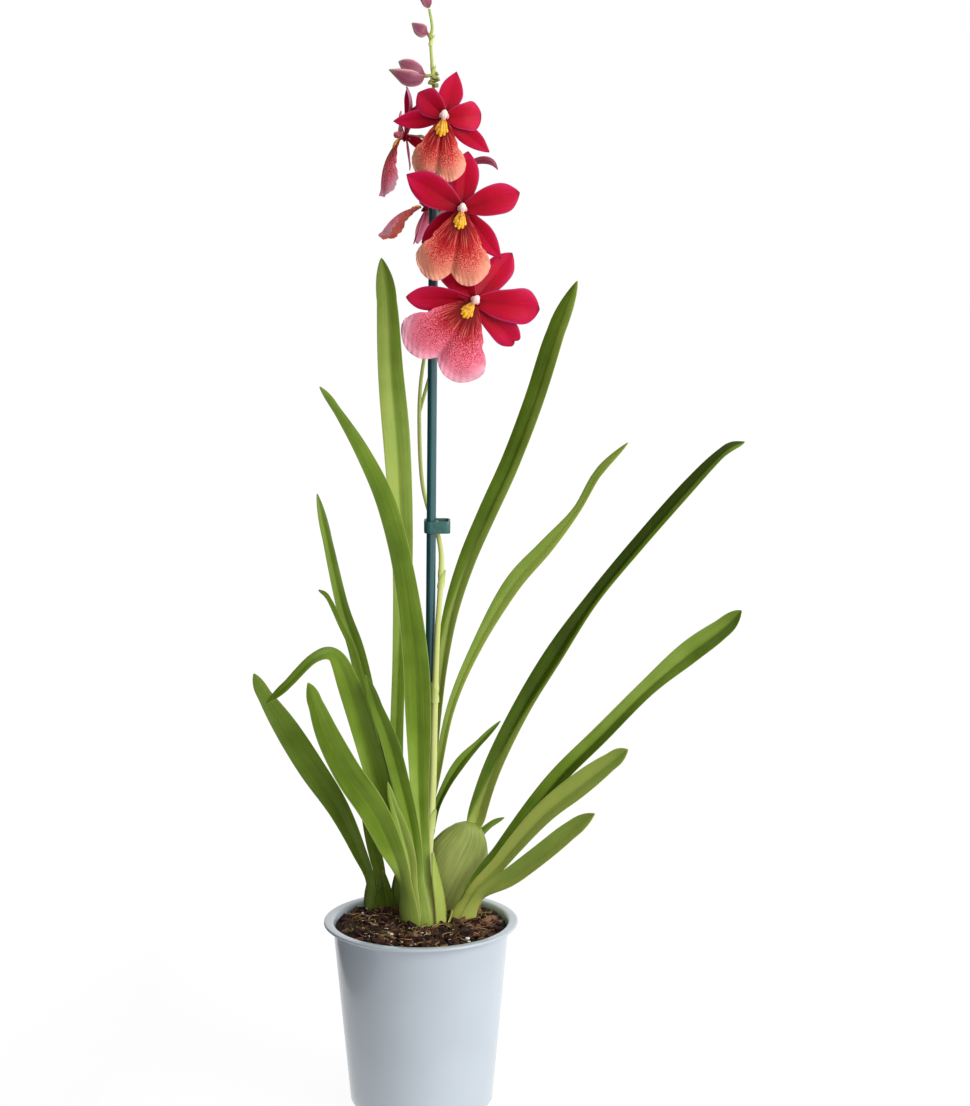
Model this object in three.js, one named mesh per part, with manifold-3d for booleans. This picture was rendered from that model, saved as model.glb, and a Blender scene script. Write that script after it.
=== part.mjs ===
// A potted orchid hybrid with a staked flower spike. Millimetres, +Z up, the camera side is -Y.
// The origin is the middle of the pot's foot. Every leaf, bulb, bloom and stem is its own closed solid.
import * as THREE from "three";
import { mergeVertices } from "three/addons/utils/BufferGeometryUtils.js";
import Module from "manifold-3d";

const wasm = await Module();
wasm.setup();

// Driving dimensions
const GAP = 0.3; // clearance between a piece and the piece that holds it
const POT_HEIGHT = 117;
const RIM_RADIUS = 60;
const RIM_THICKNESS = 1.9;
const MOUTH_RADIUS = 54.6;
const FOOT_RADIUS = 44;
const POT_WALL = 1.3;
const POT_FLOOR = 3;
const FOOT_ROUND = 3;
const POT_SIDES = 36;
const SOIL_AT_WALL = 112; // height of the bark where it meets the pot
const SOIL_CROWN = 1.5; // how far the bark rises towards the plant
const SOIL_ROUGHNESS = 1.3;
const CHIP_COUNT = 20;
const CHIP_SPREAD = 47; // how far from the middle the chips lie
const STAKE_RADIUS = 2.9;
const STAKE_FOOT = [5.0, 21, 30];
const STAKE_TOP = [9.1, 21, 575];
const CLIP_HEIGHT = 7.4;
const CLIP_MIDDLE = 359.3;
const CLIP_WALL = 1.1;
const CLIP_REACH = 11.6; // how far the clip's loop reaches beside the stake
const CLIP_DEPTH = 11.4; // how far it reaches behind the stake, round the flower stem
const LEAF_THICKNESS = 1;
const SHEATH_THICKNESS = 1.6;
const TEPAL_THICKNESS = 0.9;
const POINT_WIDTH = 0.35; // half width that a blade keeps at its tip
const HUB_RADIUS = 3.3;
const HUB_FRONT = 1.6;
const HUB_BACK = 2.8;
const STALK_BEND = 7; // where a flower's stalk turns in line with the hub, behind it
const BRACT_LENGTH = 9;

// Finishes
const paint = (colour, roughness) => new THREE.MeshStandardMaterial({ color: colour, roughness, metalness: 0 });
const POT_PLASTIC = paint("#b9c1c9", 0.28);
const BARK = paint("#3a2a20", 0.95);
const STAKE_PLASTIC = paint("#1f4a49", 0.35);
const LEAF_GREEN = paint("#6f8a2f", 0.45);
const BULB_GREEN = paint("#8ea163", 0.5);
const STEM_GREEN = paint("#a9b26a", 0.5);
const CRIMSON = paint("#b4062f", 0.55);
const LIP_PINK = paint("#dd6a6c", 0.6);
const COLUMN_WHITE = paint("#f1cfd2", 0.5);
const CREST_YELLOW = paint("#e2ab2b", 0.5);
const BUD_MAUVE = paint("#a3576a", 0.55);

const root = new THREE.Group();

function piece(name, geometry, material, parent = root) {
  const mesh = new THREE.Mesh(geometry, material);
  mesh.name = name;
  parent.add(mesh);
  return mesh;
}

// Solids for joining and cutting
function solid(geometry) {
  const bare = new THREE.BufferGeometry();
  bare.setAttribute("position", geometry.getAttribute("position").clone());
  if (geometry.index) bare.setIndex(geometry.index.clone());
  const merged = mergeVertices(bare, 1e-3);
  return new wasm.Manifold(
    new wasm.Mesh({
      numProp: 3,
      vertProperties: merged.attributes.position.array,
      triVerts: new Uint32Array(merged.index.array),
    }),
  );
}

function geometryOf(manifold) {
  const mesh = manifold.getMesh();
  const geometry = new THREE.BufferGeometry();
  geometry.setAttribute("position", new THREE.BufferAttribute(mesh.vertProperties, 3));
  geometry.setIndex(new THREE.BufferAttribute(mesh.triVerts, 1));
  return geometry;
}

const join = (solids) => solids.reduce((whole, next) => whole.add(next));

// The largest body of a cut solid: slivers that a slot frees are dropped.
function mainBody(manifold) {
  return manifold.decompose().reduce((a, b) => (a.volume() > b.volume() ? a : b));
}

// One seeded random run for the bark
let seed = 20317;
function random(low = 0, high = 1) {
  seed = (seed * 48271) % 2147483647;
  return low + (high - low) * (seed / 2147483647);
}

// A smooth run through rows of numbers: uniform Catmull-Rom, carried straight on at both ends.
function rowAt(rows, t) {
  const f = Math.min(Math.max(t, 0), 1) * (rows.length - 1);
  const i = Math.min(Math.floor(f), rows.length - 2);
  const u = f - i;
  const b = rows[i];
  const c = rows[i + 1];
  const a = rows[i - 1] ?? b.map((v, k) => 2 * v - c[k]);
  const d = rows[i + 2] ?? c.map((v, k) => 2 * v - b[k]);
  return b.map((v, k) => {
    const slope = c[k] - a[k];
    const bend = 2 * a[k] - 5 * v + 4 * c[k] - d[k];
    const jerk = 3 * v - a[k] - 3 * c[k] + d[k];
    return v + 0.5 * (slope * u + bend * u * u + jerk * u * u * u);
  });
}

const pointAt = (rows, t) => new THREE.Vector3(...rowAt(rows, t));

function tangentAt(rows, t) {
  const step = 0.01;
  return pointAt(rows, t + step).sub(pointAt(rows, t - step)).normalize();
}

// A closed skin over rings of equally many points, each ring running anticlockwise seen from the far end.
// A ring's first half is its upper face and its second half the lower one, split into triangles alike.
function loft(rings) {
  const count = rings[0].length;
  const half = count / 2;
  const position = rings.flat().flatMap((p) => [p.x, p.y, p.z]);
  const index = [];
  for (let r = 0; r + 1 < rings.length; r++) {
    for (let j = 0; j < count; j++) {
      const a = r * count + j;
      const b = r * count + ((j + 1) % count);
      const c = b + count;
      const d = a + count;
      if (j < half) index.push(a, b, c, a, c, d);
      else index.push(a, b, d, b, c, d);
    }
  }
  const last = (rings.length - 1) * count;
  for (let j = 0; j + 1 < half; j++) {
    const [a, b, c, d] = [j, j + 1, count - 2 - j, count - 1 - j];
    index.push(a, c, b, a, d, c);
    index.push(last + a, last + b, last + c, last + a, last + c, last + d);
  }
  const geometry = new THREE.BufferGeometry();
  geometry.setAttribute("position", new THREE.Float32BufferAttribute(position, 3));
  geometry.setIndex(index);
  return geometry;
}

// A folded blade. Rows are [x, y, z, half width] along the middle between its edges; the upper side turns
// from the first facing to the last, and the midrib lies below the edges by the fold, deepest at the base.
function blade({ rows, facing, fold, thickness = LEAF_THICKNESS, stations, grow = 0 }) {
  const [firstFacing, lastFacing] = facing.map((v) => new THREE.Vector3(...v));
  const rings = [];
  for (let k = 0; k <= stations; k++) {
    const t = k / stations;
    const [x, y, z, width] = rowAt(rows, t);
    const tangent = tangentAt(rows, t);
    const up = firstFacing.clone().lerp(lastFacing, t);
    up.addScaledVector(tangent, -up.dot(tangent)).normalize();
    const side = tangent.clone().cross(up);
    const middle = new THREE.Vector3(x, y, z);
    if (k === 0) middle.addScaledVector(tangent, -grow);
    const halfWidth = Math.max(width, POINT_WIDTH) + grow;
    const rise = halfWidth * (fold[1] + (fold[0] - fold[1]) * (1 - t) ** 2);
    const halfThick = thickness / 2 + 1.4 * grow;
    const at = (across, above) =>
      middle
        .clone()
        .addScaledVector(side, across * halfWidth)
        .addScaledVector(up, above + (Math.abs(across) - 1) * rise);
    rings.push([-1, 0, 1].map((s) => at(s, halfThick)).concat([1, 0, -1].map((s) => at(s, -halfThick))));
  }
  return loft(rings);
}

// A round stem of changing radius. Rows are [x, y, z, radius]; its ring is carried along without twisting.
function stem(rows, stations, sides = 8, grow = 0) {
  const across = new THREE.Vector3(1, 0, 0);
  const rings = [];
  for (let k = 0; k <= stations; k++) {
    const t = k / stations;
    const [x, y, z, radius] = rowAt(rows, t);
    const tangent = tangentAt(rows, t);
    across.addScaledVector(tangent, -across.dot(tangent)).normalize();
    const up = tangent.clone().cross(across);
    const middle = new THREE.Vector3(x, y, z);
    if (k === 0) middle.addScaledVector(tangent, -grow);
    rings.push(
      Array.from({ length: sides }, (_, j) => {
        const angle = (2 * Math.PI * (j + 0.5)) / sides;
        return middle
          .clone()
          .addScaledVector(across, (radius + grow) * Math.cos(angle))
          .addScaledVector(up, (radius + grow) * Math.sin(angle));
      }),
    );
  }
  return loft(rings);
}

// An upright body of level oval rings. Rows are [x, y, z, half width, half depth].
function oval(rows, stations, sides = 16, grow = 0) {
  const rings = [];
  for (let k = 0; k <= stations; k++) {
    const [x, y, z, width, depth] = rowAt(rows, k / stations);
    const lift = k === 0 ? -grow : k === stations ? grow : 0;
    rings.push(
      Array.from({ length: sides }, (_, j) => {
        const angle = (2 * Math.PI * (j + 0.5)) / sides;
        return new THREE.Vector3(
          x + (width + grow) * Math.cos(angle),
          y + (depth + grow) * Math.sin(angle),
          z + lift,
        );
      }),
    );
  }
  return loft(rings);
}

// Pot: one thin moulded shell with a turned-out rim
const wallSlope = (MOUTH_RADIUS - FOOT_RADIUS) / POT_HEIGHT;
const outerRadius = (z) => FOOT_RADIUS + wallSlope * z;
const innerRadius = (z) => outerRadius(z) - POT_WALL;

function potGeometry() {
  const arc = (r, z, radius, from, to, steps) =>
    Array.from({ length: steps + 1 }, (_, k) => {
      const angle = from + ((to - from) * k) / steps;
      return new THREE.Vector2(r + radius * Math.cos(angle), z + radius * Math.sin(angle));
    });
  const lip = RIM_THICKNESS / 2;
  const profile = [
    new THREE.Vector2(0, 0),
    ...arc(FOOT_RADIUS - FOOT_ROUND, FOOT_ROUND, FOOT_ROUND, -Math.PI / 2, 0, 3),
    new THREE.Vector2(outerRadius(POT_HEIGHT - 5), POT_HEIGHT - 5),
    new THREE.Vector2(MOUTH_RADIUS + 0.9, POT_HEIGHT - RIM_THICKNESS),
    ...arc(RIM_RADIUS - lip, POT_HEIGHT - lip, lip, -Math.PI / 2, Math.PI / 2, 4),
    new THREE.Vector2(MOUTH_RADIUS + 0.6, POT_HEIGHT),
    new THREE.Vector2(MOUTH_RADIUS - 0.5, POT_HEIGHT - 0.8),
    new THREE.Vector2(innerRadius(POT_HEIGHT - 3), POT_HEIGHT - 3),
    new THREE.Vector2(innerRadius(POT_FLOOR + 2), POT_FLOOR + 2),
    new THREE.Vector2(FOOT_RADIUS - 5, POT_FLOOR),
    new THREE.Vector2(0, POT_FLOOR),
  ];
  return new THREE.LatheGeometry(profile, POT_SIDES).rotateX(Math.PI / 2);
}

piece("pot", potGeometry(), POT_PLASTIC);

// Leaves, each with the growth that holds it. The upper points follow the midrib from base to tip.
const LEAVES = [
  {
    name: "leaf_tall_back",
    growth: "growth_rear",
    rows: [
      [-12, 41, 128, 3.2],
      [-16, 45, 205, 4.3],
      [-14, 50, 276, 4.6],
      [-12, 55, 333, 6.6],
      [-15, 60, 402, 8.6],
      [-19, 62, 451, 8.0],
      [-21, 60, 495, 6.1],
      [-24, 55, 521, 0.4],
    ],
    facing: [
      [0.4, -1, 0],
      [0.1, -1, 0.1],
    ],
    fold: [0.7, 0.25],
  },
  {
    name: "leaf_front_arching",
    growth: "growth_front",
    rows: [
      [3, 7.5, 132, 3.4],
      [0.5, 4.5, 188, 6.2],
      [-1, 0, 243, 8.2],
      [-3, -4, 288, 8.2],
      [-9.5, -8, 338, 6.9],
      [-19, -13, 378, 6.4],
      [-33, -21, 411, 5],
      [-48.5, -29, 438.5, 2.5],
      [-57, -34, 451, 0.4],
    ],
    facing: [
      [0.3, -1, 0],
      [0.5, -0.9, 0.5],
    ],
    fold: [0.7, 0.3],
  },
  {
    name: "leaf_left_upright",
    growth: "growth_front",
    rows: [
      [-8, 12.5, 133, 2.8],
      [-23, 17, 203, 4.7],
      [-32, 24, 247, 5.4],
      [-40, 31, 280, 5.3],
      [-49, 38, 307, 4.3],
      [-59, 48, 350, 3.1],
      [-65, 55, 375, 0.4],
    ],
    facing: [
      [0.3, -1, 0.1],
      [0.5, -0.8, 0.2],
    ],
    fold: [0.7, 0.35],
  },
  {
    name: "leaf_left_narrow",
    growth: "growth_front",
    rows: [
      [-6, 9, 134, 2.2],
      [-23, 10.5, 203, 2.7],
      [-33, 12, 251, 2.5],
      [-41, 14, 283, 2.3],
      [-49, 18, 300, 2],
      [-57, 24, 315, 1.5],
      [-63, 28, 319, 0.4],
    ],
    facing: [
      [0.3, -1, 0.2],
      [0.4, -0.8, 0.5],
    ],
    fold: [0.6, 0.5],
  },
  {
    name: "leaf_left_drooping",
    growth: "growth_front",
    rows: [
      [-9, 3.5, 132, 3.4],
      [-20, 2, 178, 6.1],
      [-30.5, -1, 222, 7.4],
      [-41.5, -9, 262.5, 7.2],
      [-50.5, -18, 286.5, 6],
      [-62.5, -26, 287.5, 5.2],
      [-78.5, -33, 272.5, 3.4],
      [-90.5, -36, 262, 0.4],
    ],
    facing: [
      [0.4, -1, 0.1],
      [-0.1, -0.7, 0.8],
    ],
    fold: [0.7, 0.2],
  },
  {
    name: "leaf_left_low",
    growth: "growth_left",
    rows: [
      [-30, 32.5, 117, 2.8],
      [-37, 30, 145, 4.4],
      [-51, 26, 179, 7.2],
      [-68, 23, 207, 8.7],
      [-84, 20, 234, 7.9],
      [-97, 20, 255, 4.6],
      [-103, 20, 268, 0.4],
    ],
    facing: [
      [0.5, -1, 0.2],
      [0.5, -0.9, 0.3],
    ],
    fold: [0.6, 0.2],
  },
  {
    name: "leaf_left_front",
    growth: "growth_front",
    rows: [
      [-8.5, -2.5, 131, 3.2],
      [-18, -8.8, 164, 5],
      [-30, -17, 192, 6.5],
      [-43, -25, 215, 7.5],
      [-54, -34, 241, 7.7],
      [-61, -42, 263, 5.3],
      [-65, -47, 277, 0.4],
    ],
    facing: [
      [0.15, -1, 0.2],
      [0.5, -0.7, 0.5],
    ],
    fold: [0.7, 0.35],
  },
  {
    name: "leaf_middle_short",
    growth: "growth_front",
    rows: [
      [1.5, 3.5, 133, 3.2],
      [-6, -1.5, 178, 4.9],
      [-12.5, -3.5, 207, 5.6],
      [-18.5, -5, 231, 5.5],
      [-26.5, -8, 254, 3.7],
      [-32.5, -12, 274, 0.4],
    ],
    facing: [
      [0.2, -1, 0],
      [0.4, -1, 0.3],
    ],
    fold: [0.7, 0.35],
  },
  {
    name: "leaf_sheath_front",
    growth: "growth_front",
    rows: [
      [-2.2, -0.2, 132, 2.8],
      [-8.4, -3.6, 158.5, 3.7],
      [-13.4, -6.4, 179, 3.3],
      [-16.6, -8.6, 193, 2.2],
      [-19.6, -10.6, 207, 0.4],
    ],
    facing: [
      [0, -1, 0.1],
      [0.2, -1, 0.2],
    ],
    fold: [0.6, 0.4],
  },
  {
    name: "leaf_sheath_left",
    growth: "growth_left",
    rows: [
      [-22.5, 32.5, 117, 2.2],
      [-27.5, 29, 142, 4],
      [-32, 26, 165, 4.1],
      [-36, 23, 186, 2.3],
      [-38, 21.5, 197, 0.4],
    ],
    facing: [
      [0.1, -1, 0.1],
      [0.1, -1, 0.2],
    ],
    fold: [0.6, 0.4],
  },
  {
    name: "leaf_right_tall",
    growth: "growth_rear",
    rows: [
      [-2.6, 41.6, 130, 2.4],
      [5, 41, 190, 2.8],
      [9.5, 40, 240, 3.4],
      [13, 41, 272, 4.2],
      [18.5, 44, 303, 5.2],
      [28, 48, 333, 6.1],
      [41, 52, 363, 6.5],
      [55.5, 56, 395, 6.7],
      [70.5, 61, 434, 7],
      [84, 66, 476, 6.2],
      [97, 71, 506, 0.4],
    ],
    facing: [
      [-0.4, -1, 0],
      [-0.5, -0.9, 0.3],
    ],
    fold: [0.7, 0.3],
  },
  {
    name: "leaf_right_slender",
    growth: "growth_rear",
    rows: [
      [-4.5, 45.2, 130, 2.2],
      [8.5, 50, 193, 2.5],
      [18, 55, 238, 2.8],
      [34, 61, 276, 3.7],
      [56, 67, 314, 5.8],
      [78, 69, 339, 5],
      [97, 70, 362, 2.8],
      [110.5, 68, 386, 2.8],
      [129, 63, 406, 0.4],
    ],
    facing: [
      [-0.3, -1, 0.1],
      [-0.2, -0.8, 0.6],
    ],
    fold: [0.6, 0.25],
  },
  {
    name: "leaf_right_long",
    growth: "bulb_right",
    rows: [
      [32, 33, 155, 3.8],
      [35, 31, 177, 4.7],
      [45, 27, 208.5, 5.2],
      [62.5, 22, 246.5, 6.1],
      [82, 15, 281, 6.6],
      [105, 8, 317, 4.7],
      [130.7, -1, 351.3, 4.9],
      [158.5, -9, 385.5, 5.1],
      [181, -14, 410, 3.4],
      [194, -14, 416, 0.4],
    ],
    facing: [
      [-0.3, -1, 0.2],
      [-0.5, -0.7, 0.6],
    ],
    fold: [0.7, 0.4],
  },
  {
    name: "leaf_right_middle",
    growth: "growth_right",
    rows: [
      [24.5, 16.4, 116, 2.7],
      [34, 18, 132, 4.4],
      [57, 21, 164, 6.7],
      [83, 25, 199, 6.4],
      [111.5, 28, 227.5, 6.5],
      [140.5, 31, 256.5, 6.3],
      [166, 31, 279, 8.4],
      [187, 30, 295, 7],
      [198, 28, 306, 0.4],
    ],
    facing: [
      [-0.5, -0.8, 0.4],
      [-0.3, -0.7, 0.7],
    ],
    fold: [0.6, 0.3],
  },
  {
    name: "leaf_right_lower",
    growth: "growth_right",
    rows: [
      [25.5, 12, 115, 2.7],
      [36, 8, 133, 4],
      [55, 1, 161, 6.1],
      [76, -6, 187, 7.8],
      [97, -13, 206, 8.7],
      [116, -18, 222, 6],
      [126, -21, 230, 0.4],
    ],
    facing: [
      [-0.4, -0.8, 0.5],
      [-0.3, -0.7, 0.7],
    ],
    fold: [0.6, 0.25],
  },
  {
    name: "leaf_right_front",
    growth: "growth_right",
    rows: [
      [28, 6.8, 117, 2.7],
      [39, 1, 131, 4.3],
      [56, -6, 147, 5.7],
      [74, -14, 163, 7.2],
      [92, -21, 180, 6.2],
      [106, -28, 192, 0.4],
    ],
    facing: [
      [-0.4, -0.8, 0.5],
      [-0.3, -0.7, 0.7],
    ],
    fold: [0.6, 0.35],
  },
  {
    name: "leaf_right_small",
    growth: "growth_rear",
    rows: [
      [3.2, 39.8, 128, 1.4],
      [7.2, 39, 170, 1.8],
      [14, 37.5, 190, 2.8],
      [24, 37, 207, 3.3],
      [37, 40, 220, 3],
      [48, 44, 230, 0.4],
    ],
    facing: [
      [-0.4, -1, 0],
      [-0.2, -0.8, 0.5],
    ],
    fold: [0.6, 0.35],
  },
  {
    name: "leaf_bulb_sheath",
    growth: "bulb_right",
    rows: [
      [17, 39, 112, 2.4],
      [22, 45, 129, 2.8],
      [32, 48, 149, 2.8],
      [43, 48, 163, 2.1],
      [52, 47, 169, 0.4],
    ],
    facing: [
      [0, 1, 0.1],
      [-0.2, 1, 0.4],
    ],
    fold: [0.3, 0.3],
  },
];

const leafStations = (leaf) => (leaf.rows.length > 7 ? 13 : leaf.rows.length > 5 ? 10 : 7);
const leafBlade = (leaf, options = {}) => blade({ ...leaf, stations: leafStations(leaf), ...options });

// Growths: swollen pseudobulbs and the sheathed bases that new leaves rise from
const GROWTHS = {
  growth_front: {
    rows: [
      [2, 6, 104, 11, 9],
      [2, 6, 113, 14, 11.2],
      [1.5, 6, 121, 14.2, 11.6],
      [0, 6, 131, 12.8, 11.2],
      [-2, 5.8, 140, 10.8, 10.2],
      [-2.5, 5.6, 145, 9.6, 9.4],
    ],
    sheaths: [
      [
        [12.5, 0.5, 111, 5.5],
        [12, 1.5, 127, 5.2],
        [9.8, 2.6, 143, 3.6],
        [7.6, 3.6, 158, 0.6],
      ],
      [
        [-5, -4, 111, 6.5],
        [-4.5, -4.6, 122, 6.5],
        [-2, -4, 133, 4.5],
        [1.5, -3.2, 141, 0.6],
      ],
    ],
  },
  bulb_right: {
    rows: [
      [17, 33, 104, 10, 6],
      [18, 33, 112, 15.5, 8],
      [19.5, 33, 123, 18.8, 9],
      [21.5, 33, 135, 20, 9.5],
      [24, 33, 147, 19.4, 9.3],
      [27, 33, 157, 16.6, 8.4],
      [30, 33, 165, 11.6, 6.6],
      [32, 33, 169.5, 6.4, 4.4],
    ],
    sheaths: [],
  },
  growth_rear: {
    rows: [
      [-7, 42, 104, 9, 5],
      [-7, 42, 113, 11.8, 6],
      [-6.5, 42, 124, 12, 6.4],
      [-6, 42, 134, 10.6, 6],
      [-5.5, 42, 142, 8.6, 5],
    ],
    sheaths: [],
  },
  growth_right: {
    rows: [
      [25, 12, 104, 6, 5],
      [25, 12, 113, 7.6, 6.3],
      [27, 11.6, 120, 7.4, 6.3],
      [30, 11, 126.5, 6, 5.6],
    ],
    sheaths: [],
  },
  growth_left: {
    rows: [
      [-27, 33, 104, 6.5, 4.4],
      [-27, 33, 113, 8.8, 5.6],
      [-28, 32.5, 122, 8, 5.2],
      [-29, 32, 130, 6, 4.2],
    ],
    sheaths: [
      [
        [-20, 29.5, 110, 4.2],
        [-20.5, 28.6, 121, 4],
        [-23, 28, 133, 2.6],
        [-24.5, 27.4, 140, 0.6],
      ],
    ],
  },
};

// Flower spike: it rises in front of the stake, crosses behind it inside the clip, and forks once
const SPIKE_ROWS = [
  [3, 13.6, 128, 2.4],
  [4.5, 14, 160, 2.6],
  [7.7, 14, 199, 2.5],
  [9.1, 14.6, 243, 2.3],
  [10.6, 16.8, 289, 1.9],
  [12.8, 21.5, 332, 1.75],
  [12, 25.6, 347.5, 1.5],
  [8.4, 28.4, 360, 1.4],
  [4.2, 30, 371, 1.3],
  [0.8, 30.8, 388, 1.25],
  [-0.5, 31, 417, 1.25],
  [0.4, 31, 446, 1.15],
  [5.9, 31, 484, 1.1],
  [8.5, 30.5, 530, 1.05],
  [9.2, 28.5, 575, 1],
  [9.5, 24, 612, 0.95],
  [8.2, 22, 636, 0.95],
  [7.4, 22, 651, 0.9],
  [8.3, 22, 659, 0.85],
  [6.6, 22, 669.3, 0.75],
];
const spikeStem = (grow = 0) => stem(SPIKE_ROWS, 34, 7, grow);

// Blooms: each has its hub, the way it faces, its dorsal direction and the tips of its five tepals
// as [across, up, out, half width, arch, bluntness], with the tilt, length and half width of its lip.
// A tepal may also have a cup, which folds it deeper, and a bow, which bends it upwards on its way. The
// two flowers seen from the side have short columns: column is the share of a full one.
const BLOOMS = [
  {
    name: "bloom_top",
    hub: [16.1, -2, 606.2],
    facing: [-0.05, -1, 0.02],
    dorsal: [0.2, 0, 1],
    tepals: [
      [0.6, 27.5, -13, 7.3, 3, 0],
      [-18.5, 11, -10, 8, 4, 0.9],
      [19.5, 3.8, -8, 7.8, 4, 0.95],
      [-30, -8.5, -6, 5.6, 2, 0.1],
      [29.5, -15, -8, 5.8, 2, 0.1],
    ],
    lip: { pitch: -5, yaw: -8, roll: 3, length: 37, width: 16.4, droop: 0.2 },
    stalk: [
      [9.4, 24.5, 607, 0.8],
      [11, 18, 609, 0.9],
      [13.5, 11, 609, 1],
    ],
  },
  {
    name: "bloom_middle",
    hub: [26.1, -6, 552.9],
    facing: [0.02, -1, -0.02],
    dorsal: [0.14, 0, 1],
    tepals: [
      [-1, 33.5, -11, 8, 2, 0.6],
      [-35, 15.5, 0, 9.6, 4, 0.35],
      [30, 13.2, -4, 8.8, 4, 0.9],
      [-21, -24, -8, 6.4, 3, 0.1],
      [27, -26, -2, 6.6, 4, 0.1],
    ],
    lip: { pitch: -3, yaw: 0, roll: -2, length: 44, width: 22.3, droop: 0.1 },
    stalk: [
      [8.8, 29.8, 546, 0.8],
      [13, 24, 551, 0.9],
      [20.5, 11, 554, 1],
    ],
  },
  {
    name: "bloom_bottom",
    hub: [33.1, -8, 499],
    facing: [0.04, -1, 0.05],
    dorsal: [0.72, 0, 1],
    tepals: [
      [2.5, 35.5, -11, 7.6, 1, 0.3],
      [-26.5, 10, -13, 7.8, 2, 0.8],
      [33, 18.5, -4, 9.3, 4, 0.9],
      [-31, -23.5, -5, 6.6, 2, 0.3],
      [35.5, -5, -6, 7.4, 3, 0.7],
    ],
    lip: { pitch: -3, yaw: 0, roll: 2, length: 46.5, width: 28.5, droop: 0.1 },
    stalk: [
      [-0.4, 31, 428, 0.9],
      [2.4, 31.6, 438.4, 1.05],
      [7.9, 33, 456.6, 1],
      [14, 30, 471, 1],
      [23, 17, 486, 1],
    ],
  },
  {
    name: "bloom_left_upper",
    hub: [-8, 17, 594.5],
    facing: [-1, -0.24, 0],
    dorsal: [-0.02, 0, 1],
    tepals: [
      [0, 27, -1, 5.6, 2, 0.2, 0.55],
      [-27, 12, -4, 7.4, 4, 0.8],
      [9, 20, -9, 6.6, 2, 0.7],
      [-22, -20, -7, 6, 3, 0.2],
      [9, -11, -15, 5.4, 2, 0.2],
    ],
    lip: { pitch: -21, yaw: 0, roll: 0, length: 37, width: 16, droop: 0.45 },
    column: 0.5,
    stalk: [
      [9, 28, 584, 0.8],
      [7, 25, 590, 0.9],
      [2.5, 20.5, 594.5, 1],
    ],
  },
  {
    name: "bloom_left_lower",
    hub: [3.5, 46, 551],
    facing: [-0.6, 0.25, 0.75],
    dorsal: [0.8, 0, 0.6],
    tepals: [
      [0, 24, -6, 6.4, 2, 0.3],
      [-20, 6, -14, 7, 3, 0.8],
      [7, 19, -14, 6, 2, 0.7],
      [-22, -18, -8, 6, 3, 0.2],
      [8, -19, -14, 5.6, 5, 0.2],
    ],
    lip: { pitch: -6, yaw: 0, roll: 0, length: 32.5, width: 14, droop: 0.4 },
    column: 0.5,
    stalk: [
      [8.6, 30.6, 530, 0.8],
      [9, 35.5, 535, 0.9],
      [9, 41, 540, 1],
    ],
  },
  {
    name: "bloom_rear",
    hub: [23.2, 52, 574.4],
    facing: [0.5, 0.87, 0],
    dorsal: [0.4, -0.2, 1],
    tepals: [
      [0, 14, -12, 5.5, 3, 0.3],
      [-26, 12, -2, 2.4, 3, 0.1, 0, 13],
      [26, 10, -2, 7.4, 4, 0.8],
      [-20, -18, -6, 5.4, 3, 0.2],
      [20, -18, -6, 5.4, 3, 0.2],
    ],
    lip: { pitch: -20, yaw: 0, roll: 0, length: 32, width: 15, droop: 0.24 },
    stalk: [
      [9, 29.6, 562, 0.8],
      [12, 35, 567, 0.9],
      [16, 41.5, 572, 1],
    ],
  },
];

// Buds: a lobe is a stem-like row list that swells and closes to a point
const BUDS = [
  {
    name: "bud_opening",
    stalk: [
      [8.4, 22, 630, 0.8],
      [6.6, 21, 630.4, 1],
      [4.4, 20, 630.2, 1.2],
    ],
    lobes: [
      [
        [3.3, 19.7, 631, 1.2],
        [0, 19.2, 632.6, 4],
        [-5, 18.6, 635.4, 4.6],
        [-9, 17.6, 637.4, 3],
        [-11.5, 17, 638.6, 0.4],
      ],
      [
        [3.2, 19, 629.8, 1.2],
        [-0.4, 18.2, 628.8, 4.2],
        [-6, 16.6, 629.4, 5.2],
        [-11.5, 15, 631.6, 3.2],
        [-17, 13.6, 633.8, 0.4],
      ],
    ],
  },
  {
    name: "bud_second",
    stalk: [
      [7.5, 22, 650, 0.7],
      [7, 21.8, 652.4, 0.9],
      [6.4, 21.6, 654, 1],
    ],
    lobes: [
      [
        [5.5, 21.3, 654.8, 1],
        [3.4, 21, 655.7, 3.6],
        [0.6, 20.2, 657.4, 3.9],
        [-1.8, 19.4, 659.4, 2.2],
        [-3.6, 19, 661, 0.35],
      ],
    ],
  },
  {
    name: "bud_tip",
    lobes: [
      [
        [6.3, 22, 669.8, 0.9],
        [5.4, 21.8, 672.2, 2.9],
        [3.8, 21.4, 677, 3.5],
        [2, 20.8, 682, 1.9],
        [0.8, 20.4, 685.6, 0.35],
      ],
    ],
  },
];

// Sheath scales hug a growth, and are fused to it. The facing turns each one outwards.
function sheathBlades({ rows, sheaths }, grow = 0) {
  return sheaths.map((sheath) => {
    const outward = [sheath[0][0] - rows[1][0], sheath[0][1] - rows[1][1], 0];
    const scale = { rows: sheath, facing: [outward, outward], fold: [-0.45, -0.3], stations: 5 };
    return solid(blade({ ...scale, thickness: SHEATH_THICKNESS, grow }));
  });
}

const growthOval = ({ rows }, grow = 0) => solid(oval(rows, rows.length, 16, grow));

// Build the growths with a slot for each leaf base and for the spike
for (const [name, growth] of Object.entries(GROWTHS)) {
  let body = join([growthOval(growth), ...sheathBlades(growth)]);
  for (const leaf of LEAVES.filter((l) => l.growth === name)) {
    body = body.subtract(solid(leafBlade(leaf, { grow: GAP })));
  }
  if (name === "growth_front") body = body.subtract(solid(spikeStem(GAP)));
  piece(name, geometryOf(mainBody(body)), name === "bulb_right" ? BULB_GREEN : LEAF_GREEN);
}

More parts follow.
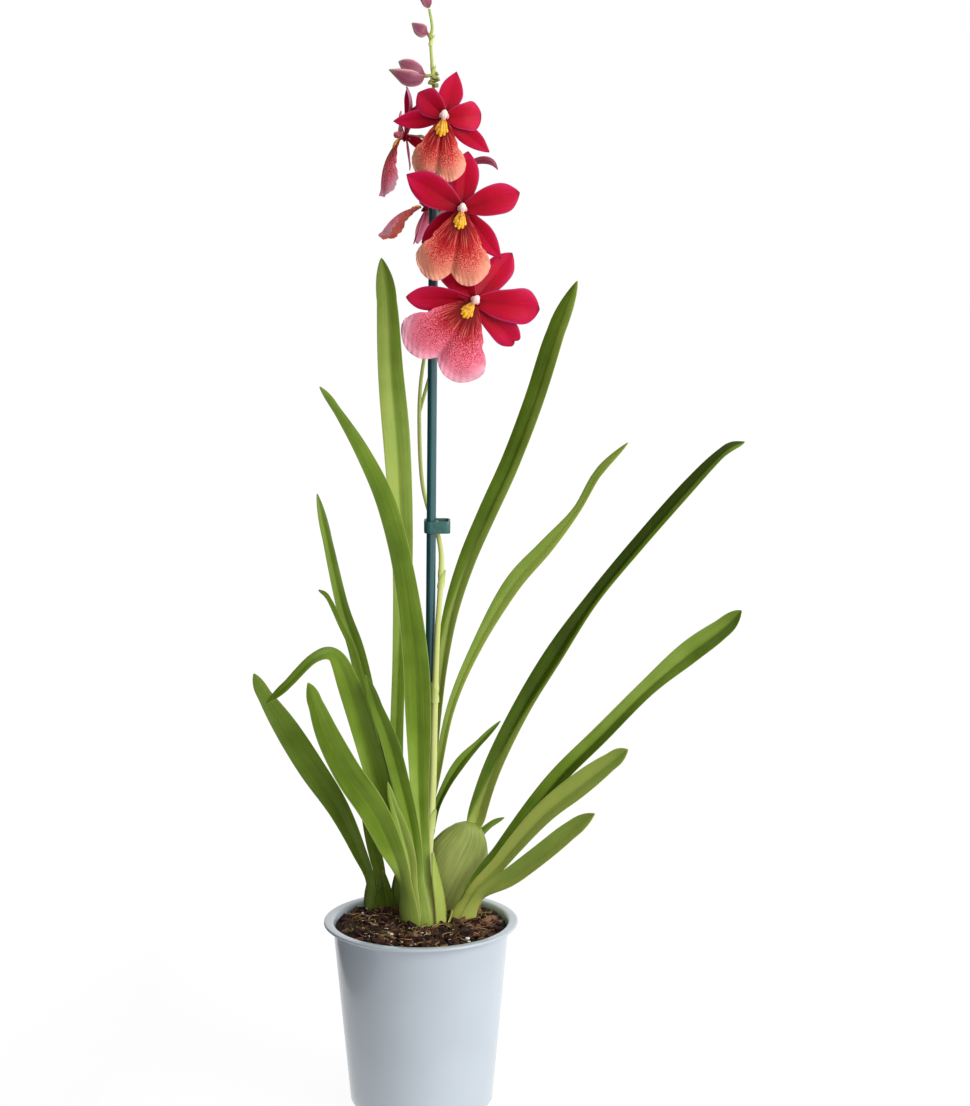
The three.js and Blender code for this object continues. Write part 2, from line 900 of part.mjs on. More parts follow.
for (const leaf of LEAVES) piece(leaf.name, leafBlade(leaf), LEAF_GREEN);

// Potting bark: a rough filled body, chips sunk into it, and plain holes for what stands in it
function roughness(x, y) {
  return (
    0.5 * Math.sin(0.42 * x + 1.3) * Math.cos(0.37 * y) +
    0.35 * Math.sin(0.81 * x - 0.63 * y + 2.1) +
    0.3 * Math.cos(1.27 * y + 0.9 * x)
  );
}

function barkGeometry() {
  const rings = 7;
  const rim = innerRadius(SOIL_AT_WALL) - GAP;
  const top = Array.from({ length: rings + 1 }, (_, k) => {
    const crown = SOIL_CROWN * Math.sin((Math.PI * k) / (2 * rings));
    return new THREE.Vector2(rim * (1 - k / rings), SOIL_AT_WALL + crown);
  });
  const profile = [
    new THREE.Vector2(0, POT_FLOOR + GAP),
    new THREE.Vector2(FOOT_RADIUS - 6, POT_FLOOR + GAP),
    new THREE.Vector2(innerRadius(POT_FLOOR + 4) - GAP, POT_FLOOR + 4),
    ...top,
  ];
  const geometry = new THREE.LatheGeometry(profile, POT_SIDES).rotateX(Math.PI / 2);
  const position = geometry.getAttribute("position");
  for (let i = 0; i < position.count; i++) {
    const [x, y, z] = [position.getX(i), position.getY(i), position.getZ(i)];
    if (z < SOIL_AT_WALL + 0.01) continue;
    position.setZ(i, z + SOIL_ROUGHNESS * roughness(x, y));
  }
  return geometry;
}

let bark = solid(barkGeometry());
for (let k = 0; k < CHIP_COUNT; k++) {
  const reach = CHIP_SPREAD * Math.sqrt(random(0.04, 1));
  const bearing = random(0, 2 * Math.PI);
  const chip = new THREE.BoxGeometry(random(5, 11), random(2.5, 5), random(2.5, 4));
  chip.rotateX(random(-0.5, 0.5)).rotateY(random(-0.45, 0.45)).rotateZ(random(0, Math.PI));
  chip.translate(reach * Math.cos(bearing), reach * Math.sin(bearing), SOIL_AT_WALL + random(0, 1.1));
  bark = bark.add(solid(chip));
}

// Stake: a rod with a tapered foot in the bark and a rounded head
const stakeAlong = new THREE.Vector3(...STAKE_TOP).sub(new THREE.Vector3(...STAKE_FOOT));
function stakeGeometry(grow = 0) {
  const length = stakeAlong.length();
  const radius = STAKE_RADIUS + grow;
  const profile = [
    new THREE.Vector2(0, -grow),
    new THREE.Vector2(radius * 0.6, -grow),
    new THREE.Vector2(radius, 3),
    new THREE.Vector2(radius, length - 7),
    new THREE.Vector2(radius * 1.28, length - 6),
    new THREE.Vector2(radius * 1.36, length - 3.4),
    new THREE.Vector2(radius * 0.95, length - 0.9),
    new THREE.Vector2(0, length + grow),
  ];
  const geometry = new THREE.LatheGeometry(profile, 12).rotateX(Math.PI / 2);
  const lean = new THREE.Quaternion().setFromUnitVectors(
    new THREE.Vector3(0, 0, 1),
    stakeAlong.clone().normalize(),
  );
  return geometry.applyQuaternion(lean).translate(...STAKE_FOOT);
}

bark = bark.subtract(solid(stakeGeometry(GAP)));
for (const growth of Object.values(GROWTHS)) {
  bark = bark.subtract(join([growthOval(growth, GAP), ...sheathBlades(growth, GAP)]));
}
piece("bark", geometryOf(mainBody(bark)), BARK);
piece("stake", stakeGeometry(), STAKE_PLASTIC);

// Clip: a sleeve on the stake with a flat loop that closes round the flower stem behind it
function clipGeometry() {
  const share = (CLIP_MIDDLE - STAKE_FOOT[2]) / stakeAlong.z;
  const centre = new THREE.Vector3(...STAKE_FOOT).addScaledVector(stakeAlong, share);
  const hole = STAKE_RADIUS + GAP + 0.1;
  const sleeve = hole + CLIP_WALL;
  const outline = new THREE.Shape();
  outline.moveTo(-1, -sleeve);
  outline.lineTo(CLIP_REACH - 2, -sleeve);
  outline.absarc(CLIP_REACH - 2, -sleeve + 2, 2, -Math.PI / 2, 0, false);
  outline.lineTo(CLIP_REACH, CLIP_DEPTH - 3);
  outline.absarc(CLIP_REACH - 3, CLIP_DEPTH - 3, 3, 0, Math.PI / 2, false);
  outline.lineTo(-1, CLIP_DEPTH);
  outline.absarc(-1, CLIP_DEPTH - 3.6, 3.6, Math.PI / 2, Math.PI, false);
  outline.lineTo(-sleeve, 0);
  outline.absarc(0, 0, sleeve, Math.PI, 1.5 * Math.PI - 0.23, false);
  const inner = new THREE.Path();
  inner.moveTo(sleeve + 0.2, 1 - sleeve + CLIP_WALL);
  inner.lineTo(CLIP_REACH - CLIP_WALL, 1 - sleeve + CLIP_WALL);
  inner.lineTo(CLIP_REACH - CLIP_WALL, CLIP_DEPTH - CLIP_WALL - 1.6);
  inner.lineTo(CLIP_REACH - CLIP_WALL - 1.6, CLIP_DEPTH - CLIP_WALL);
  inner.lineTo(-0.6, CLIP_DEPTH - CLIP_WALL);
  inner.lineTo(-sleeve + CLIP_WALL, CLIP_DEPTH - CLIP_WALL - 2.4);
  inner.lineTo(-sleeve + CLIP_WALL, sleeve);
  inner.lineTo(0.8, sleeve + 0.2);
  inner.lineTo(sleeve * 0.75, sleeve * 0.75);
  outline.holes.push(inner);
  const round = new THREE.Path();
  round.absarc(0, 0, hole, 0, 2 * Math.PI, true);
  outline.holes.push(round);
  const band = new THREE.ExtrudeGeometry(outline, { depth: CLIP_HEIGHT, bevelEnabled: false, curveSegments: 5 });
  return band.translate(centre.x, centre.y, CLIP_MIDDLE - CLIP_HEIGHT / 2);
}
piece("stake_clip", clipGeometry(), STAKE_PLASTIC);

// Spike with its branch, flower stalks and the small bracts at its joints. A bract is [x, y, z, radius, lean].
const BRACTS = [
  [12.3, 21, 326, 3.1, 0.25],
  [9.3, 15.2, 256, 3.5, 0.3],
  [5.2, 14, 176, 3.8, 0.25],
  [8.6, 22.4, 631, 2.3, 0.5],
  [7.5, 22, 650.5, 1.5, 0.4],
];
let spike = solid(spikeStem());
for (const { hub, facing, stalk } of BLOOMS) {
  const end = [STALK_BEND, HUB_BACK + 2 * GAP].map((distance) => {
    const out = new THREE.Vector3(...facing).normalize();
    return new THREE.Vector3(...hub).addScaledVector(out, -distance);
  });
  const rows = [...stalk, [...end[0], 1.15], [...end[1], 1.5]];
  spike = spike.add(solid(stem(rows, 2 * rows.length - 1, 6)));
}
for (const { stalk } of BUDS.filter((bud) => bud.stalk)) spike = spike.add(solid(stem(stalk, 4, 6)));
for (const [x, y, z, radius, lean] of BRACTS) {
  const bract = new THREE.ConeGeometry(radius, BRACT_LENGTH, 6).rotateX(-Math.PI / 2).rotateY(lean);
  spike = spike.add(solid(bract.translate(x, y, z)));
}
piece("flower_spike", geometryOf(mainBody(spike)), STEM_GREEN);

// A tepal: a petal or sepal that widens from the hub and ends pointed or blunt
function tepalSolid([across, up, out, halfWidth, arch, blunt, cup = 0, bow = 0]) {
  const tip = new THREE.Vector3(across, up, out);
  const middle = tip.clone().multiplyScalar(0.5).add(new THREE.Vector3(0, bow, arch));
  const widths = [0.36, 0.8, 1, 0.74 + 0.24 * blunt, 0.05 + 0.42 * blunt];
  const rows = widths.map((share, k) => {
    const t = 0.06 + 0.235 * k;
    const p = middle.clone().multiplyScalar(2 * t * (1 - t)).addScaledVector(tip, t * t);
    return [p.x, p.y, p.z, share * halfWidth];
  });
  const facing = [0, 0, 1];
  const fold = [0.3 + cup, 0.16 + cup];
  return solid(blade({ rows, facing: [facing, facing], fold, thickness: TEPAL_THICKNESS, stations: 5 }));
}

// The lip: a narrow claw that opens into a broad skirt with two round lobes and a notch between them
const LIP_WIDTHS = [0.14, 0.38, 0.58, 0.78, 0.93, 1, 0.96].map((share) => [share]);
const LIP_START = 1.5;
const LIP_ARCH = 3.2;
const LIP_CURL = 2;
const LIP_NOTCH = 0.15;
const LIP_CORNER = 0.22;
function lipEnding(side) {
  if (side < 0.42) return 1 - LIP_NOTCH * (1 - side / 0.42) ** 2;
  return 1 - LIP_CORNER * ((side - 0.42) / 0.58) ** 2.6;
}

// The lip's middle line arches forward below the claw and curls back at its end.
const lipHeight = (t) => LIP_ARCH * Math.sin(Math.PI * Math.min(1.1 * t, 1)) - LIP_CURL * t ** 3;

function lipGeometry({ length, width, droop }) {
  const rows = 6;
  const columns = 8;
  const rings = [];
  for (let k = 0; k <= rows; k++) {
    const t = k / rows;
    const halfWidth = width * rowAt(LIP_WIDTHS, t)[0];
    const at = (s, above) => {
      const side = Math.abs(s);
      const reach = LIP_START + (length - LIP_START) * t * (1 + (lipEnding(side) - 1) * t);
      const fall = droop * halfWidth * side ** 2 * Math.min(1, 2.2 * t);
      return new THREE.Vector3(-s * halfWidth, -reach, above + lipHeight(t) - fall);
    };
    const half = TEPAL_THICKNESS / 2;
    const across = Array.from({ length: columns + 1 }, (_, c) => (2 * c) / columns - 1);
    rings.push([...across.map((s) => at(s, half)), ...across.reverse().map((s) => at(s, -half))]);
  }
  return loft(rings);
}

// The crest: a raised callus that follows the lip's face below the column
const CREST = [
  [3.4, 1.1],
  [6, 1.9],
  [9, 2.1],
  [12, 1.1],
];
function crestGeometry({ length }) {
  const rows = CREST.map(([reach, radius]) => {
    const t = (reach - LIP_START) / (length - LIP_START);
    return [0, -reach, lipHeight(t) + TEPAL_THICKNESS / 2 + GAP + radius, radius];
  });
  return stem(rows, 5, 6);
}

// The column stands out from the hub above the lip, as [x, y, z, radius] in the flower's own directions.
const COLUMN = [
  [0, 1.4, HUB_FRONT + GAP, 1.9],
  [0, 1.5, 5, 1.8],
  [0, 2, 8.4, 2.7],
  [0, 2, 11, 2.6],
  [0, 1.2, 12.6, 0.9],
];
function columnGeometry(share) {
  const foot = COLUMN[0][2];
  const rows = COLUMN.map(([x, y, z, radius]) => [x, y, foot + share * (z - foot), radius]);
  return stem(rows, 6, 7);
}

// Each flower is built looking along its own +Z with its dorsal sepal towards +Y, then turned to its place
for (const bloom of BLOOMS) {
  const group = new THREE.Group();
  const out = new THREE.Vector3(...bloom.facing).normalize();
  const across = new THREE.Vector3(...bloom.dorsal).cross(out).normalize();
  const up = out.clone().cross(across);
  group.quaternion.setFromRotationMatrix(new THREE.Matrix4().makeBasis(across, up, out));
  group.position.set(...bloom.hub);
  root.add(group);

  const hub = new THREE.CylinderGeometry(HUB_RADIUS, 0.7 * HUB_RADIUS, HUB_FRONT + HUB_BACK, 10);
  hub.rotateX(Math.PI / 2).translate(0, 0, (HUB_FRONT - HUB_BACK) / 2);
  const tepals = join([solid(hub), ...bloom.tepals.map(tepalSolid)]);
  piece(`${bloom.name}_tepals`, geometryOf(tepals), CRIMSON, group);

  const skirt = new THREE.Group();
  skirt.position.z = HUB_FRONT + GAP + TEPAL_THICKNESS / 2 + 0.2;
  const { pitch, yaw, roll } = bloom.lip;
  skirt.rotation.set(...[pitch, yaw, roll].map(THREE.MathUtils.degToRad), "ZYX");
  group.add(skirt);
  piece(`${bloom.name}_lip`, lipGeometry(bloom.lip), LIP_PINK, skirt);
  piece(`${bloom.name}_crest`, crestGeometry(bloom.lip), CREST_YELLOW, skirt);
  piece(`${bloom.name}_column`, columnGeometry(bloom.column ?? 1), COLUMN_WHITE, group);
}

// Buds: the lobes of an opening bud overlap at its base
for (const { name, lobes } of BUDS) {
  piece(name, geometryOf(join(lobes.map((rows) => solid(stem(rows, 7, 7))))), BUD_MAUVE);
}

export default root;
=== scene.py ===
# A potted orchid hybrid with a staked flower spike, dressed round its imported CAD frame.
# Metres, +Z up, and the camera side is -Y. Sizes are written in millimetres and turned to metres with MM.
import random
from math import atan2, cos, exp, hypot, pi, radians, sin, sqrt, tanh

import bpy
from mathutils import Euler, Matrix, Vector, noise


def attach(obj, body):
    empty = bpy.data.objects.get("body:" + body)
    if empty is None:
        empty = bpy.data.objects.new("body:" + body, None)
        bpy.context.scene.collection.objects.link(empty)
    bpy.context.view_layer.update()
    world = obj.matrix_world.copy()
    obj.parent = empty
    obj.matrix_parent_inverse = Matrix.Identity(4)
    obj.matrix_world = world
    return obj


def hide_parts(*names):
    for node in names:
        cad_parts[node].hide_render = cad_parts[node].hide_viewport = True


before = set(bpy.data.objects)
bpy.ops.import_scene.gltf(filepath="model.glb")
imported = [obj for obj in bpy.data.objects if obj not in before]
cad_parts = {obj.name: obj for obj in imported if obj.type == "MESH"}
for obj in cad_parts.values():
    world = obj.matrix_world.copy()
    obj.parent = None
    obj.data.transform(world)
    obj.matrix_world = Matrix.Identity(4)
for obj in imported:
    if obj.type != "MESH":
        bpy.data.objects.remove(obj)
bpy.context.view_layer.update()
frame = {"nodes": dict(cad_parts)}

# Camera, lights and floor
# The photograph is a product shot on white, taken a little above the flowers, with soft light from the
# right. The left side of the gloss pot mirrors a darker part of the room, which is a grey card here.
MM = 0.001
CAMERA_PLACE = (0.0396, -1.5477, 0.6084)
CAMERA_PITCH = 80.4
CAMERA_LENS = 84.63
LIGHTS_AIM = Vector((0.02, 0, 0.3))
bpy.ops.object.select_all(action="DESELECT")
bpy.ops.object.camera_add(location=CAMERA_PLACE, rotation=(radians(CAMERA_PITCH), 0, 0))
camera = bpy.context.object
camera.name = "camera"
camera.data.sensor_width = 36
camera.data.lens = CAMERA_LENS
bpy.context.scene.camera = camera
bpy.context.scene.view_settings.view_transform = "Standard"

room = bpy.data.worlds.new("room")
room.use_nodes = True
room.node_tree.nodes["Background"].inputs["Color"].default_value = (1, 1, 1, 1)
room.node_tree.nodes["Background"].inputs["Strength"].default_value = 1.0
bpy.context.scene.world = room

# Each light: its place and width in metres, and its power in watts
SOFT_LIGHTS = {
    "key_light": ((1.3, -0.9, 0.95), 0.9, 18),
    "top_light": ((-0.1, -0.5, 1.9), 0.9, 2),
    "rear_light": ((-0.9, 1.1, 1.2), 0.8, 2),
}
for light_name, (place, width, power) in SOFT_LIGHTS.items():
    aim = (LIGHTS_AIM - Vector(place)).to_track_quat("-Z", "Y").to_euler()
    bpy.ops.object.light_add(type="AREA", location=place, rotation=aim)
    lamp = bpy.context.object
    lamp.name = light_name
    lamp.data.size = width
    lamp.data.energy = power
    lamp.visible_camera = False


def colour(code):
    """The linear colour of an sRGB hex code."""
    parts = [int(code[k : k + 2], 16) / 255 for k in (1, 3, 5)]
    return [v / 12.92 if v <= 0.04045 else ((v + 0.055) / 1.055) ** 2.4 for v in parts] + [1]


def surface(name, **values):
    """A new material. What is the same all over the surface goes on its shader's own sockets."""
    material = bpy.data.materials.new(name)
    material.use_nodes = True
    shader = material.node_tree.nodes["Principled BSDF"]
    for socket, value in values.items():
        shader.inputs[socket.replace("_", " ")].default_value = value
    return material


bpy.ops.mesh.primitive_plane_add(size=9, location=(0, 2, 0))
floor = bpy.context.object
floor.name = "floor"
paper = surface(
    "studio_paper_lit", Base_Color=colour("#505050"), Roughness=0.9, Specular_IOR_Level=0.1,
    Emission_Color=(1, 1, 1, 1), Emission_Strength=0.93,
)
floor.data.materials.append(paper)

bpy.ops.mesh.primitive_plane_add(
    size=1, location=(-0.2, -0.2, 0.2), rotation=(0, radians(90), 0), scale=(0.34, 0.7, 1)
)
card = bpy.context.object
card.name = "grey_card"
card.visible_camera = False
card.data.materials.append(surface("grey_card_matt", Base_Color=colour("#16181c"), Roughness=0.9))

# Pot
# A thin nursery pot of light blue-grey polypropylene, injection moulded with a gloss: a straight tapered
# wall, a flat rim turned out all round, and a shallow hollow under its foot.
POT_PROFILE = [
    (0.5, 0.8), (33, 0.8), (34.2, 0), (41, 0), (42.6, 0.5), (43.6, 1.6), (44.27, 3), (44.8, 9), (49, 55.2),
    (53.7, 107.1), (54.15, 112), (54.6, 114.3), (55.6, 115.2), (57.6, 115.3), (58.9, 115.1), (59.6, 115.3),
    (60, 115.9), (59.9, 116.5), (59.3, 116.9), (58.2, 117), (56, 117), (55, 116.9), (54.4, 116.5),
    (53.7, 115.6), (53.1, 114), (52.85, 111), (49.6, 75), (43.4, 6.5), (42.4, 4), (39, 3), (0.5, 3),
]
POT_SIDES = 144


def pick(*shapes):
    """Selects these objects alone, and makes the first one active."""
    bpy.ops.object.select_all(action="DESELECT")
    for shape in shapes:
        shape.select_set(True)
    bpy.context.view_layer.objects.active = shapes[0]


def faced_out(shape, weld=False):
    """Turns a mesh's faces outwards, and first welds its seams if it was wrapped into a tube."""
    pick(shape)
    bpy.ops.object.mode_set(mode="EDIT")
    bpy.ops.mesh.select_all(action="SELECT")
    if weld:
        bpy.ops.mesh.remove_doubles(threshold=0.002 * MM)
        bpy.ops.mesh.select_all(action="SELECT")
    bpy.ops.mesh.normals_make_consistent(inside=False)
    bpy.ops.object.mode_set(mode="OBJECT")
    return shape


def turned(name, profile, sides):
    """A turned shape: a ring drawn up and scaled from each (radius, height) to the next, then closed."""
    bpy.ops.object.select_all(action="DESELECT")
    radius, height = profile[0]
    bpy.ops.mesh.primitive_circle_add(vertices=sides, radius=radius * MM, location=(0, 0, height * MM))
    shape = bpy.context.object
    shape.name = name
    bpy.ops.object.transform_apply()
    bpy.ops.object.mode_set(mode="EDIT")
    for next_radius, next_height in profile[1:]:
        step = (0, 0, (next_height - height) * MM)
        bpy.ops.mesh.extrude_region_move(TRANSFORM_OT_translate={"value": step})
        share = next_radius / radius
        bpy.ops.transform.resize(value=(share, share, 1), center_override=(0, 0, next_height * MM))
        radius, height = next_radius, next_height
    bpy.ops.mesh.select_all(action="SELECT")
    bpy.ops.mesh.fill_holes(sides=0)
    bpy.ops.object.mode_set(mode="OBJECT")
    return faced_out(shape)


# Which output holds a node's result, where that isn't its first one
RESULTS = {"RGBA": 2, "VECTOR": 1, "Attribute": 2, "TexCoord": "Object"}


def add_node(material, kind, inputs=None, stops=(), into=None, **settings):
    """Adds a node and gives its result. inputs maps its sockets to values or to other results, stops fills
    a colour ramp, and into names the shader socket that takes the result."""
    tree = material.node_tree
    node = tree.nodes.new("ShaderNode" + kind)
    for setting, value in settings.items():
        setattr(node, setting, value)
    for socket, value in (inputs or {}).items():
        if isinstance(value, bpy.types.NodeSocket):
            tree.links.new(value, node.inputs[socket])
        else:
            node.inputs[socket].default_value = value
    for number, (position, code) in enumerate(stops):
        elements = node.color_ramp.elements
        stop = elements[number] if number < 2 else elements.new(position)
        stop.position = position
        stop.color = colour(code)
    result = node.outputs[RESULTS.get(settings.get("data_type", kind), 0)]
    if into:
        tree.links.new(result, tree.nodes["Principled BSDF"].inputs[into])
    return result


def dress(shape, slot, *nodes, materials=(), smooth=60):
    """Gives a finished piece its materials and smoothness, its body and the nodes it replaces; slot is not
    used.
    """
    shape.data.name = shape.name
    for material in materials:
        shape.data.materials.append(material)
    pick(shape)
    bpy.ops.object.shade_smooth_by_angle(angle=radians(smooth))
    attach(shape, "root")
    if nodes:
        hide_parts(*nodes)


pot = turned("pot_shell", POT_PROFILE, POT_SIDES)
# Moulding against a polished tool leaves an even gloss, clouds some 70 mm wide and a faint peel of 2 mm.
polypropylene = surface(
    "polypropylene_gloss_moulded", Roughness=0.24, IOR=1.49, Coat_Weight=0.35, Coat_Roughness=0.08
)
place = add_node(polypropylene, "TexCoord")
clouds = add_node(polypropylene, "TexNoise", {"Vector": place, "Scale": 14, "Detail": 2})
add_node(polypropylene, "ValToRGB", {0: clouds}, [(0.3, "#abb4bd"), (0.7, "#b4bdc6")], "Base Color")
peel = add_node(polypropylene, "TexNoise", {"Vector": place, "Scale": 420, "Detail": 1})
add_node(polypropylene, "Bump", {"Height": peel, "Strength": 0.12, "Distance": 0.05 * MM}, into="Normal")
dress(pot, "pot", "pot", materials=[polypropylene], smooth=50)

# Bark
# Potting mix for orchids: one filled bed of dark composted bark, with loose flakes on it, coir fibres,
# threads of moss and a few pale grains. It fills the pot to 5 mm under the rim.
BED_RADIUS = 52.55
BED_HEIGHT = 113
BED_CROWN = 1.2
BED_LUMPS = 1.5
BED_RINGS = 26
CHIP_COUNT = 520
FIBRE_COUNT = 150
MOSS_COUNT = 110
GRAIN_COUNT = 26
# What grows in the bark, as (x, y, radius)
SEATS = [(2, 5, 12.5), (18, 33, 13), (-7, 42, 10), (25, 12, 6.5), (-27, 33, 7.5), (5.6, 21, 2.5)]
bed_profile = [(0.5, 3.3), (38, 3.3), (42.8, 7.4)]
for k in range(BED_RINGS + 1):
    inward = k / BED_RINGS
    height = BED_HEIGHT + BED_CROWN * sin(1.57 * inward)
    bed_profile.append((BED_RADIUS * (1 - inward) + 0.5 * inward, height))
bed = turned("bark_bed", bed_profile, 128)
for corner in bed.data.vertices:
    if corner.co.z > (BED_HEIGHT - 0.01) * MM:
        lumps = noise.noise(corner.co * 130) + 0.6 * noise.noise(corner.co * 420)
        corner.co.z += BED_LUMPS * (lumps + 0.4 * noise.noise(corner.co * 900)) * MM


def mixed_brown(name, stops, grain_mm, roughness=0.9):
    """A dull, broken brown for bark and fibre: the tone attribute picks the shade, noise breaks it up."""
    material = surface(name, Roughness=roughness, Specular_IOR_Level=0.25)
    place = add_node(material, "TexCoord")
    grain = add_node(material, "TexNoise", {"Vector": place, "Scale": 1 / (grain_mm * MM), "Detail": 4})
    tone = add_node(material, "Attribute", attribute_name="tone")
    broken = add_node(material, "Math", {0: grain, 1: 0.9, 2: -0.45}, operation="MULTIPLY_ADD")
    shade = add_node(material, "Math", {0: tone, 1: broken})
    add_node(material, "ValToRGB", {0: shade}, stops, "Base Color")
    add_node(material, "Bump", {"Height": grain, "Strength": 0.7, "Distance": 0.5 * MM}, into="Normal")
    return material


def mark(shape, name, values):
    """Stores a number per vertex, or one for them all, under a name that the materials read."""
    layer = shape.data.attributes.new(name, "FLOAT", "POINT")
    if not isinstance(values, list):
        values = [values] * len(shape.data.vertices)
    layer.data.foreach_set("value", values)


# Composting darkens bark and roughens it, so that it is matt and breaks into shades 1 to 2 mm wide.
bark_brown = mixed_brown(
    "pine_bark_composted", [(0.05, "#0f0a08"), (0.35, "#2a1a14"), (0.65, "#4c3023"), (0.95, "#86644a")], 1.6
)
mark(bed, "tone", 0.22)
dress(bed, "bark", "bark", materials=[bark_brown])

# One flake of bark: a cube cut once each way, so that its corners can be broken off
bpy.ops.object.select_all(action="DESELECT")
bpy.ops.mesh.primitive_cube_add(size=2)
flake = bpy.context.object
bpy.ops.object.mode_set(mode="EDIT")
bpy.ops.mesh.subdivide(number_cuts=1)
bpy.ops.object.mode_set(mode="OBJECT")
draw = random.Random(20317)


def on_the_bed(reach):
    """A random place on the bark, clear of what grows in it."""
    while True:
        bearing = draw.uniform(0, 2 * pi)
        far = reach * sqrt(draw.random())
        x, y = far * cos(bearing), far * sin(bearing)
        if all(hypot(x - a, y - b) > r for a, b, r in SEATS):
            return x, y


def joined(name, parts):
    """Joins loose parts into one piece."""
    pick(*parts)
    if len(parts) > 1:
        bpy.ops.object.join()
    parts[0].name = name
    return parts[0]


chips = []
for number in range(CHIP_COUNT):
    chip = bpy.data.objects.new("chip", flake.data.copy())
    bpy.context.collection.objects.link(chip)
    big = draw.random() ** 2
    size = Vector((1.6 + 3.2 * big, 0.9 + 1.3 * big, 0.45 + 0.8 * big)) * draw.uniform(0.75, 1.25)
    x, y = on_the_bed(52 - size.x)
    turn = Euler((draw.uniform(-0.6, 0.6), draw.uniform(-0.55, 0.55), draw.uniform(0, 6.3))).to_matrix()
    lift = BED_HEIGHT + draw.uniform(0.2, 1.5 + 0.8 * big)
    offset = Vector((draw.uniform(0, 90), draw.uniform(0, 90), number))
    for corner in chip.data.vertices:
        squeeze = 1 + 0.45 * noise.noise(corner.co * 1.3 + offset)
        rounded = corner.co * squeeze * (0.8 if corner.co.length > 1.6 else 1)
        corner.co = (turn @ (rounded * size) + Vector((x, y, lift))) * MM
    mark(chip, "tone", draw.choice((0.2, 0.3, 0.42, 0.5, 0.62, 0.85)) + draw.uniform(-0.08, 0.08))
    chips.append(chip)
bpy.data.objects.remove(flake)
dress(joined("bark_chips", chips), "bark", materials=[bark_brown], smooth=30)


def row_at(rows, t):
    """A smooth run through rows of numbers, carried straight on at both ends."""
    f = min(max(t, 0), 1) * (len(rows) - 1)
    i = min(int(f), len(rows) - 2)
    u = f - i
    b, c = rows[i], rows[i + 1]
    a = rows[i - 1] if i else [2 * v - w for v, w in zip(b, c)]
    d = rows[i + 2] if i + 2 < len(rows) else [2 * v - w for v, w in zip(c, b)]
    return [
        q + 0.5 * ((r - p) * u + (2 * p - 5 * q + 4 * r - s) * u**2 + (3 * q - p - 3 * r + s) * u**3)
        for p, q, r, s in zip(a, b, c, d)
    ]


def tangent_at(rows, t):
    """The direction of the run at t."""
    return (Vector(row_at(rows, t + 0.01)[:3]) - Vector(row_at(rows, t - 0.01)[:3])).normalized()


def shaped_grid(name, columns, rows, place, marks):
    """A flat grid carried vertex by vertex to its place in millimetres: s runs across from -1 to 1, and
    t along from 0 to 1. marks holds the numbers that its materials read, also as functions of s and t."""
    bpy.ops.object.select_all(action="DESELECT")
    bpy.ops.mesh.primitive_grid_add(x_subdivisions=columns, y_subdivisions=rows, size=2)
    shape = bpy.context.object
    shape.name = name
    spots = [(corner.co.x, (corner.co.y + 1) / 2) for corner in shape.data.vertices]
    for corner, (s, t) in zip(shape.data.vertices, spots):
        corner.co = place(s, t) * MM
    for mark_name, value in marks.items():
        mark(shape, mark_name, [value(s, t) for s, t in spots])
    return shape


def tube(name, rows, sides, stations, marks, swell=lambda angle, t: 1):
    """A round stem of changing radius along rows of (x, y, z, radius), closed at both ends.
    swell multiplies its radius."""
    across = Vector((1, 0, 0))
    frames = []
    for k in range(stations + 1):
        tangent = tangent_at(rows, k / stations)
        across = (across - tangent * across.dot(tangent)).normalized()
        x, y, z, radius = row_at(rows, k / stations)
        frames.append((Vector((x, y, z)), across.copy(), tangent.cross(across), radius))
    frames = [frames[0][:3] + (0,)] + frames + [frames[-1][:3] + (0,)]

    def place(s, t):
        middle, right, up, radius = frames[round(t * (stations + 2))]
        angle = pi * s
        grown = radius * swell(angle, t)
        return middle + right * grown * cos(angle) + up * grown * sin(angle)

    return faced_out(shaped_grid(name, sides, stations + 2, place, marks), weld=True)


fibres = []
for number in range(FIBRE_COUNT):
    x, y = on_the_bed(46)
    bearing = draw.uniform(0, 6.3)
    half = draw.uniform(2.5, 7.5)
    bend = draw.uniform(-0.6, 0.6)
    rows = []
    for k in range(4):
        way = bearing + bend * (k - 1.5)
        far = half * (k - 1.5) / 1.5
        height = BED_HEIGHT + 2.1 + draw.uniform(-0.8, 1.3)
        rows.append((x + far * cos(way), y + far * sin(way), height, draw.uniform(0.16, 0.3)))
    tone = draw.uniform(0.35, 0.95)
    fibres.append(tube("fibre", rows, 4, 7, {"tone": lambda s, t: tone}))
# Coir is husk fibre: dry, straw to brown, and barely glossy.
COIR_STOPS = [(0.1, "#3d2415"), (0.5, "#7a4f2d"), (0.8, "#a98257"), (1, "#cdb48a")]
coir = mixed_brown("coir_fibre", COIR_STOPS, 2.5, 0.8)
dress(joined("coir_fibres", fibres), "bark", materials=[coir], smooth=70)

# Where moss grows, as (x, y, spread)
MOSS_SPOTS = [(-3, -18, 7), (14, -9, 6), (-38, -12, 7), (-24, -22, 6), (8, -2, 14), (-40, 6, 5), (38, 20, 7)]
threads = []
for number in range(MOSS_COUNT):
    a, b, spread = MOSS_SPOTS[number % len(MOSS_SPOTS)]
    x, y = a + draw.gauss(0, spread * 0.5), b + draw.gauss(0, spread * 0.4)
    if hypot(x, y) > 48:
        continue
    lean_x, lean_y = draw.uniform(-2, 2), draw.uniform(-2, 2)
    tall = draw.uniform(1, 2.4)
    rows = [
        (x, y, BED_HEIGHT + 1, 0.35),
        (x + 0.4 * lean_x, y + 0.4 * lean_y, BED_HEIGHT + 1.2 + 0.6 * tall, 0.3),
        (x + lean_x, y + lean_y, BED_HEIGHT + 1.2 + tall, 0.12),
    ]
    tone = draw.uniform(0.1, 0.9)
    threads.append(tube("thread", rows, 4, 4, {"tone": lambda s, t: tone}))
